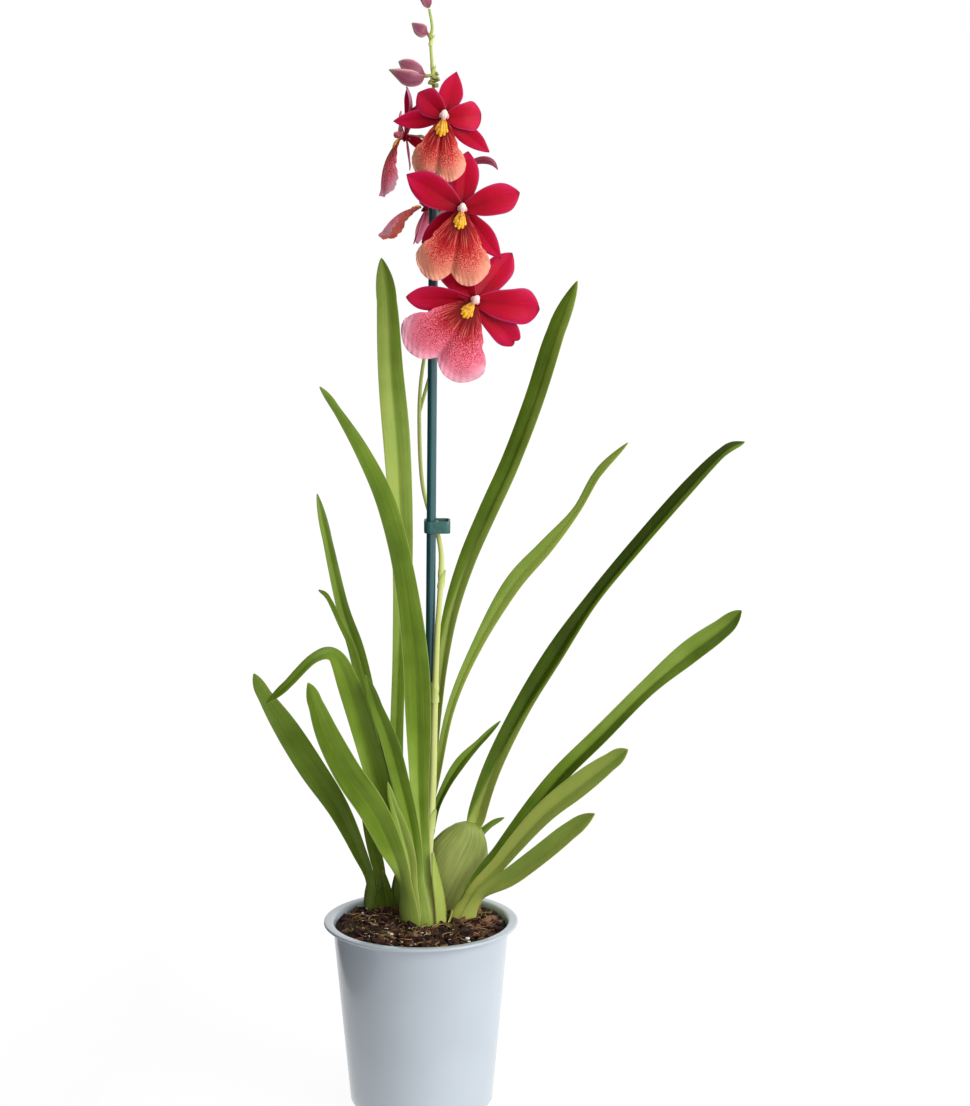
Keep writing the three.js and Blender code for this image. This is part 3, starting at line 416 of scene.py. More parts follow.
# Damp moss is dark olive with yellower tips.
moss = mixed_brown("moss_threads_damp", [(0.1, "#232a0c"), (0.6, "#4f5a1c"), (1, "#8b8f4a")], 2, 0.85)
dress(joined("moss_threads", threads), "bark", materials=[moss], smooth=70)

grains = []
for number in range(GRAIN_COUNT):
    x, y = on_the_bed(49)
    bpy.ops.mesh.primitive_ico_sphere_add(subdivisions=2, radius=1)
    pebble = bpy.context.object
    size = draw.uniform(0.4, 1.1)
    stretch = Vector((draw.uniform(0.6, 1.9), 1, 0.8))
    for corner in pebble.data.vertices:
        lump = 1 + 0.35 * noise.noise(corner.co * 1.7 + Vector((number, 3, 5)))
        corner.co = (corner.co * stretch * size * lump + Vector((x, y, BED_HEIGHT + 2.2))) * MM
    mark(pebble, "tone", draw.uniform(0.2, 1))
    grains.append(pebble)
# Pumice and dry root are chalky and pale.
pumice = mixed_brown("pumice_and_dry_root", [(0.1, "#a38f78"), (0.6, "#d9cdbb"), (1, "#efe9de")], 1.5)
dress(joined("pale_grains", grains), "bark", materials=[pumice])

# Stake
# A plant stake of dark blue-green polystyrene, extruded as a gloss rod with a moulded round head. It
# stands 80 mm deep in the bark, behind the spike.
STAKE_FOOT = Vector((3.2, 21, 30))
STAKE_TOP = Vector((9.1, 21, 575))
STAKE_RADIUS = 2.9
stake_line = STAKE_TOP - STAKE_FOOT
reach = stake_line.length
# The head, as (radius, distance from the top)
STAKE_HEAD = [
    (STAKE_RADIUS, 8.6), (3.1, 7.6), (3.55, 6.6), (3.85, 5.2), (3.9, 3.8), (3.7, 2.4), (3.2, 1.3), (2.4, 0.6),
    (1.4, 0.15), (0.3, 0),
]
stake_profile = [(0.3, 0), (1.7, 0), (2.6, 2)] + [(STAKE_RADIUS, z) for z in (4, reach * 0.3, reach * 0.65)]
stake_profile += [(radius, reach - down) for radius, down in STAKE_HEAD]
stake = turned("stake_rod", stake_profile, 40)
lean = Vector((0, 0, 1)).rotation_difference(stake_line)
stake.data.transform(Matrix.Translation(STAKE_FOOT * MM) @ lean.to_matrix().to_4x4())
# Extrusion leaves a clear gloss, with faint lines drawn out along the rod.
polystyrene = surface(
    "polystyrene_gloss_extruded", Base_Color=colour("#14484c"), Roughness=0.3, IOR=1.59,
    Coat_Weight=0.4, Coat_Roughness=0.12,
)
place = add_node(polystyrene, "TexCoord")
stretched = add_node(polystyrene, "Mapping", {"Vector": place, "Scale": (1, 1, 0.02)})
lines = add_node(polystyrene, "TexNoise", {"Vector": stretched, "Scale": 1800, "Detail": 2})
add_node(polystyrene, "ValToRGB", {0: lines}, [(0.3, "#103d42"), (0.7, "#1b565a")], "Base Color")
add_node(polystyrene, "Bump", {"Height": lines, "Strength": 0.25, "Distance": 0.06 * MM}, into="Normal")
dress(stake, "stake", "stake", materials=[polystyrene], smooth=50)

# Stake clip
# A moulded sleeve of grey-green polypropylene that grips the stake, with a flat loop beside and behind it
# that closes round the flower stem.
CLIP_MIDDLE = 359.3
CLIP_HEIGHT = 7.4
CLIP_WALL = 1.1
SLEEVE_RADIUS = 3.85
SLEEVE_SIDES = 40
CLIP_LOOP = [
    (-2.6, -3.0), (-1, -3.75), (0.6, -3.85), (3.5, -3.85), (6.5, -3.85), (9, -3.85), (10.2, -3.55),
    (10.9, -2.9), (11.05, -2), (11.05, 1), (11.05, 4), (11.05, 7.4), (10.8, 9), (10.1, 10.2), (8.9, 10.85),
    (6, 10.85), (3, 10.85), (0.5, 10.85), (-1.6, 10.6), (-3.1, 9.7), (-3.95, 8.3), (-4.05, 6), (-3.95, 3),
    (-3.85, 0.6), (-3.6, -1.6),
]
clip_centre = STAKE_FOOT + stake_line * ((CLIP_MIDDLE - STAKE_FOOT.z) / stake_line.z)


def apply_modifier(shape, kind, **settings):
    """Adds a modifier with its settings and applies it."""
    pick(shape)
    modifier = shape.modifiers.new(kind, kind)
    for setting, value in settings.items():
        setattr(modifier, setting, value)
    bpy.ops.object.modifier_apply(modifier=modifier.name)


def band(name, outline):
    """A strip of the clip's height that follows a closed outline, given its wall and its rounded edges."""
    bpy.ops.object.select_all(action="DESELECT")
    bpy.ops.mesh.primitive_cylinder_add(vertices=len(outline), radius=1, depth=2, end_fill_type="NOTHING")
    strip = bpy.context.object
    strip.name = name
    for corner in strip.data.vertices:
        bearing = atan2(corner.co.x, corner.co.y) / (2 * pi)
        x, y = outline[-round(bearing * len(outline)) % len(outline)]
        height = 0.5 * CLIP_HEIGHT * corner.co.z
        corner.co = Vector((clip_centre.x + x, clip_centre.y + y, CLIP_MIDDLE + height)) * MM
    faced_out(strip)
    apply_modifier(strip, "SOLIDIFY", thickness=CLIP_WALL * MM, offset=0, use_even_offset=True)
    apply_modifier(strip, "BEVEL", width=0.25 * MM, segments=2, limit_method="ANGLE")
    return strip


turns = [2 * pi * k / SLEEVE_SIDES for k in range(SLEEVE_SIDES)]
sleeve_outline = [(SLEEVE_RADIUS * cos(turn), SLEEVE_RADIUS * sin(turn)) for turn in turns]
clip = joined("clip_band", [band("clip_loop", CLIP_LOOP), band("clip_sleeve", sleeve_outline)])
# Moulding in a blasted tool leaves a satin surface with flecks of some 3 mm.
clip_plastic = surface("polypropylene_satin_moulded", Roughness=0.36, IOR=1.49)
place = add_node(clip_plastic, "TexCoord")
flecks = add_node(clip_plastic, "TexNoise", {"Vector": place, "Scale": 350, "Detail": 3})
add_node(clip_plastic, "ValToRGB", {0: flecks}, [(0.3, "#28524f"), (0.7, "#356661")], "Base Color")
add_node(clip_plastic, "Bump", {"Height": flecks, "Strength": 0.2, "Distance": 0.08 * MM}, into="Normal")
dress(clip, "stake", "stake_clip", materials=[clip_plastic], smooth=35)

# Growths
# The swollen bases that the leaves rise from: one bare pseudobulb, and four young growths that the leaf
# bases clasp, with a few sheath scales that end in a thin dry margin. The left one is dark.

# Each has its outline in rows of (x, y, z, half width, half depth), and a tone at its foot and its top.
# A scale is (middle bearing in degrees, half spread, foot height, tip height, stand-off, skew). A sheath
# stands up beside the leaf bases, in rows of (x, y, z, half width).
GROWTHS = {
    "growth_front": {
        "rows": [
            (2, 6, 104, 11, 9), (2, 6, 113, 14, 11.2), (1.5, 6, 121, 14.2, 11.6), (0, 6, 131, 12.8, 11.2),
            (-2, 5.8, 140, 10.8, 10.2), (-2.5, 5.6, 145, 9.6, 9.4),
        ],
        "tones": (0.14, 0.36), "scales": [(95, 85, 109, 148, -0.4, 0), (-8, 34, 109, 121, 2.1, 12)],
        "sheaths": [[(12.2, 0.5, 110, 6.4), (11.4, 1, 127, 6), (9, 2, 143, 4.6), (7.2, 3, 159, 0.6)]],
    },
    "bulb_right": {
        "rows": [
            (17, 33, 104, 10, 6), (18, 33, 112, 15.5, 8), (19.5, 33, 123, 18.8, 9),
            (20.4, 33, 135, 19.6, 9.5), (21.7, 33, 147, 19.4, 9.3), (23.4, 33, 157, 17, 8.4),
            (25.6, 33, 164.5, 12.2, 6.6), (27.2, 33, 168.6, 6.6, 4.4),
        ],
        "tones": (0.16, 0.4), "scales": [(-150, 45, 110, 122, 0.5, 0), (-35, 50, 110, 119, 0.5, 8)],
        "sheaths": [],
    },
    "growth_rear": {
        "rows": [
            (-7, 42, 104, 9, 5), (-7, 42, 113, 11.8, 6), (-6.5, 42, 124, 12, 6.4), (-6, 42, 134, 10.6, 6),
            (-5.5, 42, 142, 8.6, 5),
        ],
        "tones": (0.35, 0.5), "scales": [(100, 70, 110, 150, 0.9, 0)], "sheaths": [],
    },
    "growth_right": {
        "rows": [
            (25, 12, 104, 6, 5), (25, 12, 113, 7.6, 6.3), (27, 11.6, 120, 7.4, 6.3), (30, 11, 126.5, 6, 5.6),
        ],
        "tones": (0.1, 0.35), "scales": [(60, 85, 110, 131, -0.5, 0)], "sheaths": [],
    },
    "growth_left": {
        "rows": [
            (-27, 33, 104, 6.5, 4.4), (-27, 33, 113, 8.8, 5.6), (-28, 32.5, 122, 8, 5.2),
            (-29, 32, 130, 6, 4.2),
        ],
        "tones": (0.55, 0.7), "scales": [(-58, 50, 110, 131, 0.9, -8), (90, 80, 110, 139, 0.5, 0)],
        "sheaths": [
            [(-20, 29.5, 110, 4.2), (-20.5, 28.6, 121, 4), (-23, 28, 133, 2.6), (-24.5, 27.4, 140, 0.6)],
        ],
    },
}
SHEATH_WALL = 0.7


def oval_at(rows, z):
    """The outline's (x, y, half width, half depth) at a height."""
    above = sum(row[2] <= z for row in rows)
    k = min(max(above - 1, 0), len(rows) - 2)
    u = min(max((z - rows[k][2]) / (rows[k + 1][2] - rows[k][2]), 0), 1)
    x, y, _, width, depth = row_at(rows, (k + u) / (len(rows) - 1))
    return x, y, width, depth


def on_growth(rows, z, bearing, stand_off):
    """A point on a growth's outline, moved outwards by the stand-off."""
    x, y, width, depth = oval_at(rows, z)
    angle = radians(bearing)
    return Vector((x + (width + stand_off) * cos(angle), y + (depth + stand_off) * sin(angle), z))


def skin_marks(first, last, girth, length, margin=lambda s, t: 0):
    """The marks of a green piece: its tone from foot to tip, its girth and length in millimetres, and how
    near its margin is."""
    return {
        "tone": lambda s, t: first + (last - first) * t,
        "across_mm": lambda s, t: girth * s,
        "along_mm": lambda s, t: length * t,
        "margin": margin,
    }


def oval_body(name, rows, dome, tones, core):
    """A swollen body of level ovals, closed by a dome on top. What leaf bases clasp narrows to a core."""
    low, high = rows[0][2], rows[-1][2]

    def place(s, t):
        z = low + (high + dome - low) * t
        x, y, width, depth = oval_at(rows, z)
        over = max(z - high, 0) / dome
        share = sqrt(max(1 - over**2, 0)) if t > 0 else 0
        share *= 1 - core * (0.14 + 0.66 * t**1.6)
        angle = pi * s
        ribs = 1 + 0.012 * sin(17 * angle + 0.06 * z) + 0.03 * sin(2 * angle + 0.4)
        return Vector((x + width * share * ribs * cos(angle), y + depth * share * ribs * sin(angle), z))

    return faced_out(shaped_grid(name, 64, 36, place, skin_marks(*tones, 60, high - low)), weld=True)


def to_margin(s, t):
    """How near a scale's edge or tip is."""
    return max(abs(s), t)


def thick_sheet(shape, thickness, offset):
    """Gives a scale its thickness and a smooth form."""
    apply_modifier(shape, "SOLIDIFY", thickness=thickness * MM, offset=offset, use_even_offset=False)
    apply_modifier(shape, "SUBSURF", levels=1, render_levels=1)
    return shape


def hugging_scale(rows, scale, tones):
    """A sheath scale that lies round a growth and runs up to a point."""
    middle, half, foot, tip, stand_off, skew = scale
    swing = draw.uniform(0, 6)

    def place(s, t):
        spread = half * (1 - t**2.4) ** 0.75
        out = stand_off + 0.9 * t**3 + 0.25 * abs(s) ** 3 + 0.15 * sin(7 * t + 4 * s + swing)
        return on_growth(rows, foot + (tip - foot) * t, middle + skew * t + spread * s, out)

    marks = skin_marks(*tones, 0.2 * half, tip - foot, to_margin)
    marks["tone"] = lambda s, t: tones[0] + (tones[1] - tones[0]) * t + draw.uniform(-0.01, 0.01)
    return thick_sheet(shaped_grid("scale", 20, 22, place, marks), SHEATH_WALL, 1)


def blade_frames(rows, facing, fold, stations):
    """Along a folded blade: its middle, the way across, the way up, its half width and its rise."""
    first, last = Vector(facing[0]), Vector(facing[1])
    frames = []
    for k in range(stations + 1):
        t = k / stations
        x, y, z, width = row_at(rows, t)
        tangent = tangent_at(rows, t)
        up = first.lerp(last, t)
        up = (up - tangent * up.dot(tangent)).normalized()
        half = max(width, 0.35)
        rise = half * (fold[1] + (fold[0] - fold[1]) * (1 - t) ** 2)
        frames.append((Vector((x, y, z)), tangent.cross(up), up, half, rise))
    return frames


def standing_sheath(rows, growth, tones):
    """A taller sheath that leaves its growth and stands up beside the leaf bases."""
    outward = (rows[0][0] - growth[1][0], rows[0][1] - growth[1][1], 0)
    stations = 26
    frames = blade_frames(rows, [outward, outward], (-0.45, -0.3), stations)

    def place(s, t):
        middle, side, up, half, rise = frames[round(t * stations)]
        return middle + side * s * half + up * ((s * s - 1) * rise + 0.12 * sin(9 * t + 5 * s))

    shape = shaped_grid("scale", 12, stations, place, skin_marks(*tones, 6, 45, to_margin))
    return thick_sheet(shape, 1.1, 0)


LEAF_GREENS = [
    (0, "#b6bc5e"), (0.18, "#a4b254"), (0.4, "#879e44"), (0.58, "#6c8526"), (0.78, "#4e660e"),
    (1, "#34440a"),
]


def drawn_out(material, across, across_scale, along, along_scale, slant=0):
    """Where on a piece a pattern is that runs along it, from two of the piece's marks and their scales."""
    side = add_node(material, "Attribute", attribute_name=across)
    run = add_node(material, "Attribute", attribute_name=along)
    fine = add_node(material, "Math", {0: side, 1: across_scale}, operation="MULTIPLY")
    slow = add_node(material, "Math", {0: run, 1: along_scale}, operation="MULTIPLY")
    slanted = add_node(material, "Math", {0: run, 1: slant, 2: fine}, operation="MULTIPLY_ADD")
    return add_node(material, "CombineXYZ", {0: slanted, 1: slow})


def living_green(name, shift, roughness, dry=None, slant=0, greens=LEAF_GREENS, per_mm=1.7, contrast=0.3):
    """Plant tissue: the tone attribute picks a green between pale sheath and old leaf, fine veins run along
    the piece, and a thin margin is pale, or dry where that is given."""
    material = surface(
        name, Roughness=roughness, Specular_IOR_Level=0.16, Subsurface_Weight=0.06,
        Subsurface_Radius=(0.001, 0.002, 0.0005),
    )
    # A leaf's veins stand about 0.6 mm apart, and run on for some 40 mm.
    veins_at = drawn_out(material, "across_mm", per_mm, "along_mm", 0.025, slant)
    veins = add_node(material, "TexNoise", {"Vector": veins_at, "Scale": 1, "Detail": 2, "Roughness": 0.6})
    place = add_node(material, "TexCoord")
    patches = add_node(material, "TexNoise", {"Vector": place, "Scale": 45, "Detail": 3})
    tone = add_node(material, "Attribute", attribute_name="tone")
    veined = add_node(material, "Math", {0: veins, 1: contrast, 2: tone}, operation="MULTIPLY_ADD")
    patched = add_node(material, "Math", {0: patches, 1: 0.28, 2: veined}, operation="MULTIPLY_ADD")
    level = add_node(material, "Math", {0: patched, 1: shift - contrast / 2 - 0.14})
    green = add_node(material, "ValToRGB", {0: level}, greens)
    margin = add_node(material, "Attribute", attribute_name="margin")
    top = 0.5 if dry else 0.4
    edge = add_node(material, "MapRange", {"Value": margin, "From Min": 0.93, "From Max": 1, "To Max": top})
    shades = {0: edge, 6: green, 7: colour(dry or "#a9b96a")}
    add_node(material, "Mix", shades, into="Base Color", data_type="RGBA")
    add_node(material, "Bump", {"Height": veins, "Strength": 0.35, "Distance": 0.25 * MM}, into="Normal")
    return material


# A sheath is waxy and pale green, and its margin has dried to straw.
sheath_skin = living_green("sheath_skin_waxy", 0, 0.45, dry="#b89a78")
# A pseudobulb's skin is smooth and grey-green, with wide soft veins that slant across it.
BULB_GREENS = [(0, "#b2b468"), (0.28, "#9fa85c"), (0.42, "#8c994e"), (0.6, "#73833c"), (1, "#4e6022")]
bulb_skin = living_green(
    "pseudobulb_skin_smooth", 0.02, 0.42, slant=-0.3, greens=BULB_GREENS, per_mm=0.75, contrast=0.6
)
for name, growth in GROWTHS.items():
    rows, tones = growth["rows"], growth["tones"]
    bare = name == "bulb_right"
    body = oval_body(name + "_skin", rows, 2 if bare else 5, tones, 0 if bare else 1)
    dress(body, "bulb" if bare else "sheath", name, materials=[bulb_skin if bare else sheath_skin])
    wraps = [hugging_scale(rows, scale, tones) for scale in growth["scales"]]
    wraps += [standing_sheath(sheath, rows, tones) for sheath in growth["sheaths"]]
    dress(joined(name + "_scales", wraps), "sheath", materials=[sheath_skin])

# Leaves
# Long straps of waxy green leaf, folded along the midrib like a keel and open towards the light, 0.85 mm
# thick and thinner at the margin. A widened base holds each one to its growth.

# Rows are (x, y, z, half width) midway between the edges, from base to tip; tones go from pale to dark
# along the leaf, and wave is in mm. Halves are painted light and shade across the fold: rows of how much
# darker the right part is painted and the left part lighter, and where the seam lies between the left
# margin at -1 and the right one at 1. A clasp is the leaf's base round its growth: the growth, its foot and
# its end in height, the bearings of its left and right edge at the foot in degrees, and how far it stands
# off.
LEAVES = {
    "tall_back": {
        "rows": [
            (-12, 41, 128, 3.2), (-16, 45, 205, 4.3), (-14, 50, 276, 4.6), (-12, 55, 333, 6.6),
            (-15, 60, 402, 8.6), (-19, 62, 451, 8), (-21, 60, 495, 6.1), (-24, 55, 521, 0.4),
        ],
        "facing": [(0.4, -1, 0), (0.1, -1, 0.1)], "fold": (0.7, 0.25), "wave": 0.5,
        "tones": (0.5, 0.5, 0.32, 0.46, 0.6), "halves": [(0, 0), (0.06, 0), (0.14, 0.4)],
        "clasp": ("growth_rear", 108.5, 178, -188, -95, -0.4),
    },
    "front_arching": {
        "rows": [
            (3, 7.5, 132, 3.4), (-0.3, 4.5, 188, 5.5), (-1, 0, 243, 8.2), (-3, -4, 288, 8.2),
            (-9.5, -8, 338, 6.9), (-19, -13, 378, 6.4), (-33, -21, 411, 5), (-48.5, -29, 438.5, 2.5),
            (-57, -34, 451, 0.4),
        ],
        "facing": [(0.3, -1, 0), (0.5, -0.9, 0.5)], "fold": (0.7, 0.3), "wave": 0.5,
        "tones": (0.25, 0.66, 0.74, 0.72, 0.7),
        "halves": [(0.2, 0.1), (0.02, 0), (-0.08, 0), (-0.06, 0), (-0.04, 0)],
        "clasp": ("growth_front", 108.5, 180, -122, -12, -1.0),
    },
    "left_upright": {
        "rows": [
            (-8, 12.5, 133, 2.8), (-23, 17, 203, 4.7), (-32, 24, 247, 5.4), (-40, 31, 280, 5.3),
            (-49, 38, 307, 4.3), (-59, 48, 350, 3.1), (-65, 55, 375, 0.4),
        ],
        "facing": [(0.3, -1, 0.1), (0.5, -0.8, 0.2)], "fold": (0.7, 0.35), "wave": 0.4,
        "tones": (0.4, 0.64, 0.62), "halves": [(0.08, 0), (0.08, 0)],
        "clasp": ("growth_front", 108.5, 188, 195, 95, -0.8),
    },
    "left_narrow": {
        "rows": [
            (-6, 9, 134, 2.2), (-23, 10.5, 203, 2.7), (-33, 12, 251, 2.5), (-41, 14, 283, 2.3),
            (-49, 18, 300, 2), (-57, 24, 315, 1.5), (-63, 28, 319, 0.4),
        ],
        "facing": [(0.3, -1, 0.2), (0.4, -0.8, 0.5)], "fold": (0.6, 0.5), "wave": 0.3,
        "tones": (0.4, 0.62, 0.62), "halves": [(-0.06, 0), (-0.06, 0)],
        "clasp": ("growth_front", 112, 180, 170, 110, -1.4),
    },
    "left_drooping": {
        "rows": [
            (-9, 3.5, 132, 3.4), (-20, 2, 178, 6.1), (-30.5, -1, 222, 7.4), (-41.5, -9, 262.5, 7.2),
            (-50.5, -18, 286.5, 5.2), (-62.5, -26, 287.5, 3.4), (-78.5, -33, 272.5, 2.9),
            (-90.5, -36, 262, 0.4),
        ],
        "facing": [(0.4, -1, 0.1), (-0.1, -0.7, 0.8)], "fold": (0.7, 0.2), "wave": 0.5,
        "tones": (0.5, 0.66, 0.66), "halves": [(0.02, 0), (0, 0)],
        "clasp": ("growth_front", 108.5, 182, -150, -215, -0.5),
    },
    "left_low": {
        "rows": [
            (-30, 32.5, 117, 2.8), (-37, 30, 145, 4.4), (-51, 26, 179, 7.2), (-68, 23, 207, 8.7),
            (-84, 20, 234, 7.9), (-97, 20, 255, 4.6), (-103, 20, 268, 0.4),
        ],
        "facing": [(0.5, -1, 0.2), (0.5, -0.9, 0.3)], "fold": (0.6, 0.2), "wave": 0.6,
        "tones": (0.5, 0.68, 0.62), "halves": [(-0.04, 0), (-0.04, 0)],
        "clasp": ("growth_left", 108.5, 152, -205, -92, -0.3),
    },
    "left_front": {
        "rows": [
            (-8.5, -2.5, 131, 3.2), (-17.4, -8.8, 164, 7.4), (-29, -17, 192, 9), (-42.4, -25, 215, 9.2),
            (-54, -34, 241, 8.2), (-61, -42, 263, 5.3), (-65, -47, 277, 0.4),
        ],
        "facing": [(0.15, -1, 0.2), (0.5, -0.7, 0.5)], "fold": (0.7, 0.35), "wave": 0.6,
        "tones": (0.4, 0.68, 0.8, 0.7), "halves": [(-0.04, 0), (-0.06, 0)],
        "clasp": ("growth_front", 108.5, 168, -196, -98, 0.7),
    },
    "middle_short": {
        "rows": [
            (1.5, 3.5, 133, 3.2), (-6, -1.5, 178, 4.9), (-12.5, -3.5, 207, 5.6), (-18.5, -5, 231, 5.5),
            (-26.5, -8, 254, 3.7), (-32.5, -12, 274, 0.4),
        ],
        "facing": [(0.2, -1, 0), (0.4, -1, 0.3)], "fold": (0.7, 0.35), "wave": 0.4,
        "tones": (0.46, 0.74, 0.76), "halves": [(0.04, 0), (0.05, 0)],
        "clasp": ("growth_front", 110, 178, -150, -72, -0.2),
    },
    "sheath_front": {
        "rows": [
            (-2.2, -0.2, 132, 2.8), (-7.6, -3.8, 158.5, 4.8), (-12.6, -6.6, 179, 4.2),
            (-16.6, -8.6, 193, 2.2), (-19.6, -10.6, 207, 0.4),
        ],
        "facing": [(0, -1, 0.1), (0.2, -1, 0.2)], "fold": (0.6, 0.4), "wave": 0.2, "tones": (0.24, 0.4, 0.5),
        "halves": [(-0.08, -0.3), (-0.1, -0.3)], "clasp": ("growth_front", 112, 168, -142, -96, 0.2),
    },
    "sheath_left": {
        "rows": [
            (-22.5, 32.5, 117, 2.2), (-27.5, 29, 142, 4), (-32, 26, 165, 4.1), (-36, 23, 186, 2.3),
            (-38, 21.5, 197, 0.4),
        ],
        "facing": [(0.1, -1, 0.1), (0.1, -1, 0.2)], "fold": (0.6, 0.4), "wave": 0.2,
        "tones": (0.5, 0.66, 0.72), "halves": [(0, 0), (0, 0)],
        "clasp": ("growth_left", 108.5, 150, -95, 5, -0.2),
    },
    "right_tall": {
        "rows": [
            (-2.6, 41.6, 130, 2.4), (5, 41, 190, 2.8), (9.5, 40, 240, 3.4), (13, 41, 272, 4.2),
            (18.5, 44, 303, 5.2), (28, 48, 333, 6.1), (41, 52, 363, 6.5), (55.5, 56, 395, 6.7),
            (70.5, 61, 434, 7), (84, 66, 476, 6.2), (97, 71, 506, 0.4),
        ],
        "facing": [(-0.4, -1, 0), (-0.5, -0.9, 0.3)], "fold": (0.7, 0.3), "wave": 0.5,
        "tones": (0.4, 0.46, 0.6, 0.64),
        "halves": [(-0.2, -1.3), (-0.2, -1.3), (-0.2, -0.4), (-0.2, 0.2), (-0.18, 0.15), (-0.16, 0)],
        "clasp": ("growth_rear", 108.5, 178, -95, 2, -0.3),
    },
    "right_slender": {
        "rows": [
            (-4.5, 45.2, 130, 2.2), (8.5, 50, 193, 2.5), (18, 55, 238, 2.8), (34, 61, 276, 3.7),
            (56, 67, 314, 5.8), (78, 69, 339, 5), (97, 70, 362, 2.8), (110.5, 68, 386, 2.8),
            (129, 63, 406, 0.4),
        ],
        "facing": [(-0.3, -1, 0.1), (-0.2, -0.8, 0.6)], "fold": (0.6, 0.25), "wave": 0.5,
        "tones": (0.28, 0.36, 0.4), "halves": [(-0.1, 0), (-0.1, 0)],
        "clasp": ("growth_rear", 108.5, 175, 140, 25, -0.3),
    },
    "right_long": {
        "rows": [
            (31.5, 33, 155, 6), (35, 31, 177, 6.2), (45, 27, 208.5, 6), (62.5, 22, 246.5, 6.1),
            (82, 15, 281, 6.6), (105, 8, 317, 4.7), (130.7, -1, 351.3, 4.9), (158.5, -9, 385.5, 5.1),
            (181, -14, 410, 3.4), (194, -14, 416, 0.4),
        ],
        "facing": [(-0.3, -1, 0.2), (-0.5, -0.7, 0.6)], "fold": (0.7, 0.4), "wave": 0.5,
        "tones": (0.38, 0.5, 0.68, 0.84, 0.84),
        "halves": [(-0.3, -1.3), (-0.3, -0.1), (-0.26, 0.7), (-0.22, 0.5), (-0.2, 0.2), (-0.2, 0)],
        "clasp": ("bulb_right", 158, 172, -78, -12, -1.3),
    },
    "right_middle": {
        "rows": [
            (24.5, 16.4, 116, 2.7), (34, 18, 132, 4.4), (57, 21, 164, 6.7), (83, 25, 199, 6.4),
            (111.5, 28, 227.5, 6.5), (140.5, 31, 256.5, 6.3), (166, 31, 279, 8.4), (187, 30, 295, 7),
            (198, 28, 306, 0.4),
        ],
        "facing": [(-0.5, -0.8, 0.4), (-0.3, -0.7, 0.7)], "fold": (0.6, 0.3), "wave": 0.6,
        "tones": (0.25, 0.8, 0.82, 0.62, 0.56, 0.62, 0.66),
        "halves": [(0, 0), (0.05, 0), (0.12, 0), (0.16, 0), (0.1, 0), (0.14, 0), (0.16, 0)],
        "clasp": ("growth_right", 108.5, 156, 190, 50, -0.2),
    },
    "right_lower": {
        "rows": [
            (25.5, 12, 115, 2.7), (36, 8, 133, 4), (55, 1, 161, 6.1), (76, -6, 187, 7.8),
            (97, -13, 206, 8.7), (116, -18, 222, 6), (126, -21, 230, 0.4),
        ],
        "facing": [(-0.4, -0.8, 0.5), (-0.3, -0.7, 0.7)], "fold": (0.6, 0.25), "wave": 0.6,
        "tones": (0.1, 0.2, 0.4), "halves": [(0.05, 0), (0.05, 0)],
        "clasp": ("growth_right", 108.5, 152, -178, -62, 0.2),
    },
    "right_front": {
        "rows": [
            (28, 6.8, 117, 2.7), (39, 1, 131, 5), (56, -6.4, 146.6, 6.8), (74, -14, 163, 7.2),
            (92, -21, 180, 6.2), (106, -28, 192, 0.4),
        ],
        "facing": [(-0.4, -0.8, 0.5), (-0.3, -0.7, 0.7)], "fold": (0.6, 0.35), "wave": 0.6,
        "tones": (0.15, 0.28, 0.36), "halves": [(-0.08, 0), (-0.08, 0)],
        "clasp": ("growth_right", 108.5, 148, -100, 15, 0.8),
    },
    "right_small": {
        "rows": [
            (3.2, 39.8, 128, 1.4), (7.2, 39, 170, 2.2), (14, 37.5, 190, 2.8), (24, 37, 207, 3.7),
            (37, 40, 220.5, 2), (49.5, 44, 232.5, 0.4),
        ],
        "facing": [(-0.4, -1, 0), (-0.2, -0.8, 0.5)], "fold": (0.6, 0.35), "wave": 0.3,
        "tones": (0.62, 0.66, 0.62), "halves": [(0.1, 0), (0.1, 0)],
        "clasp": ("growth_rear", 112, 168, -62, 10, 0.3),
    },
    "bulb_sheath": {
        "rows": [
            (17, 39, 112, 2.4), (22, 45, 129, 2.8), (33, 48, 153, 2.9), (43, 48, 164, 2.2),
            (52, 47, 169, 0.4),
        ],
        "facing": [(0, 1, 0.1), (-0.2, 1, 0.4)], "fold": (0.3, 0.3), "wave": 0.2, "tones": (0.6, 0.7, 0.74),
        "halves": [(0, 0), (0, 0)], "clasp": ("bulb_right", 109, 136, 140, 60, 0.3),
    },
}
LEAF_THICKNESS = 0.85
LEAF_COLUMNS = 16
LEAF_STEP = 4.5
CLASP_STEP = 3


def value_at(values, t):
    """A smooth run through single numbers."""
    return row_at([(value,) for value in values], t)[0]


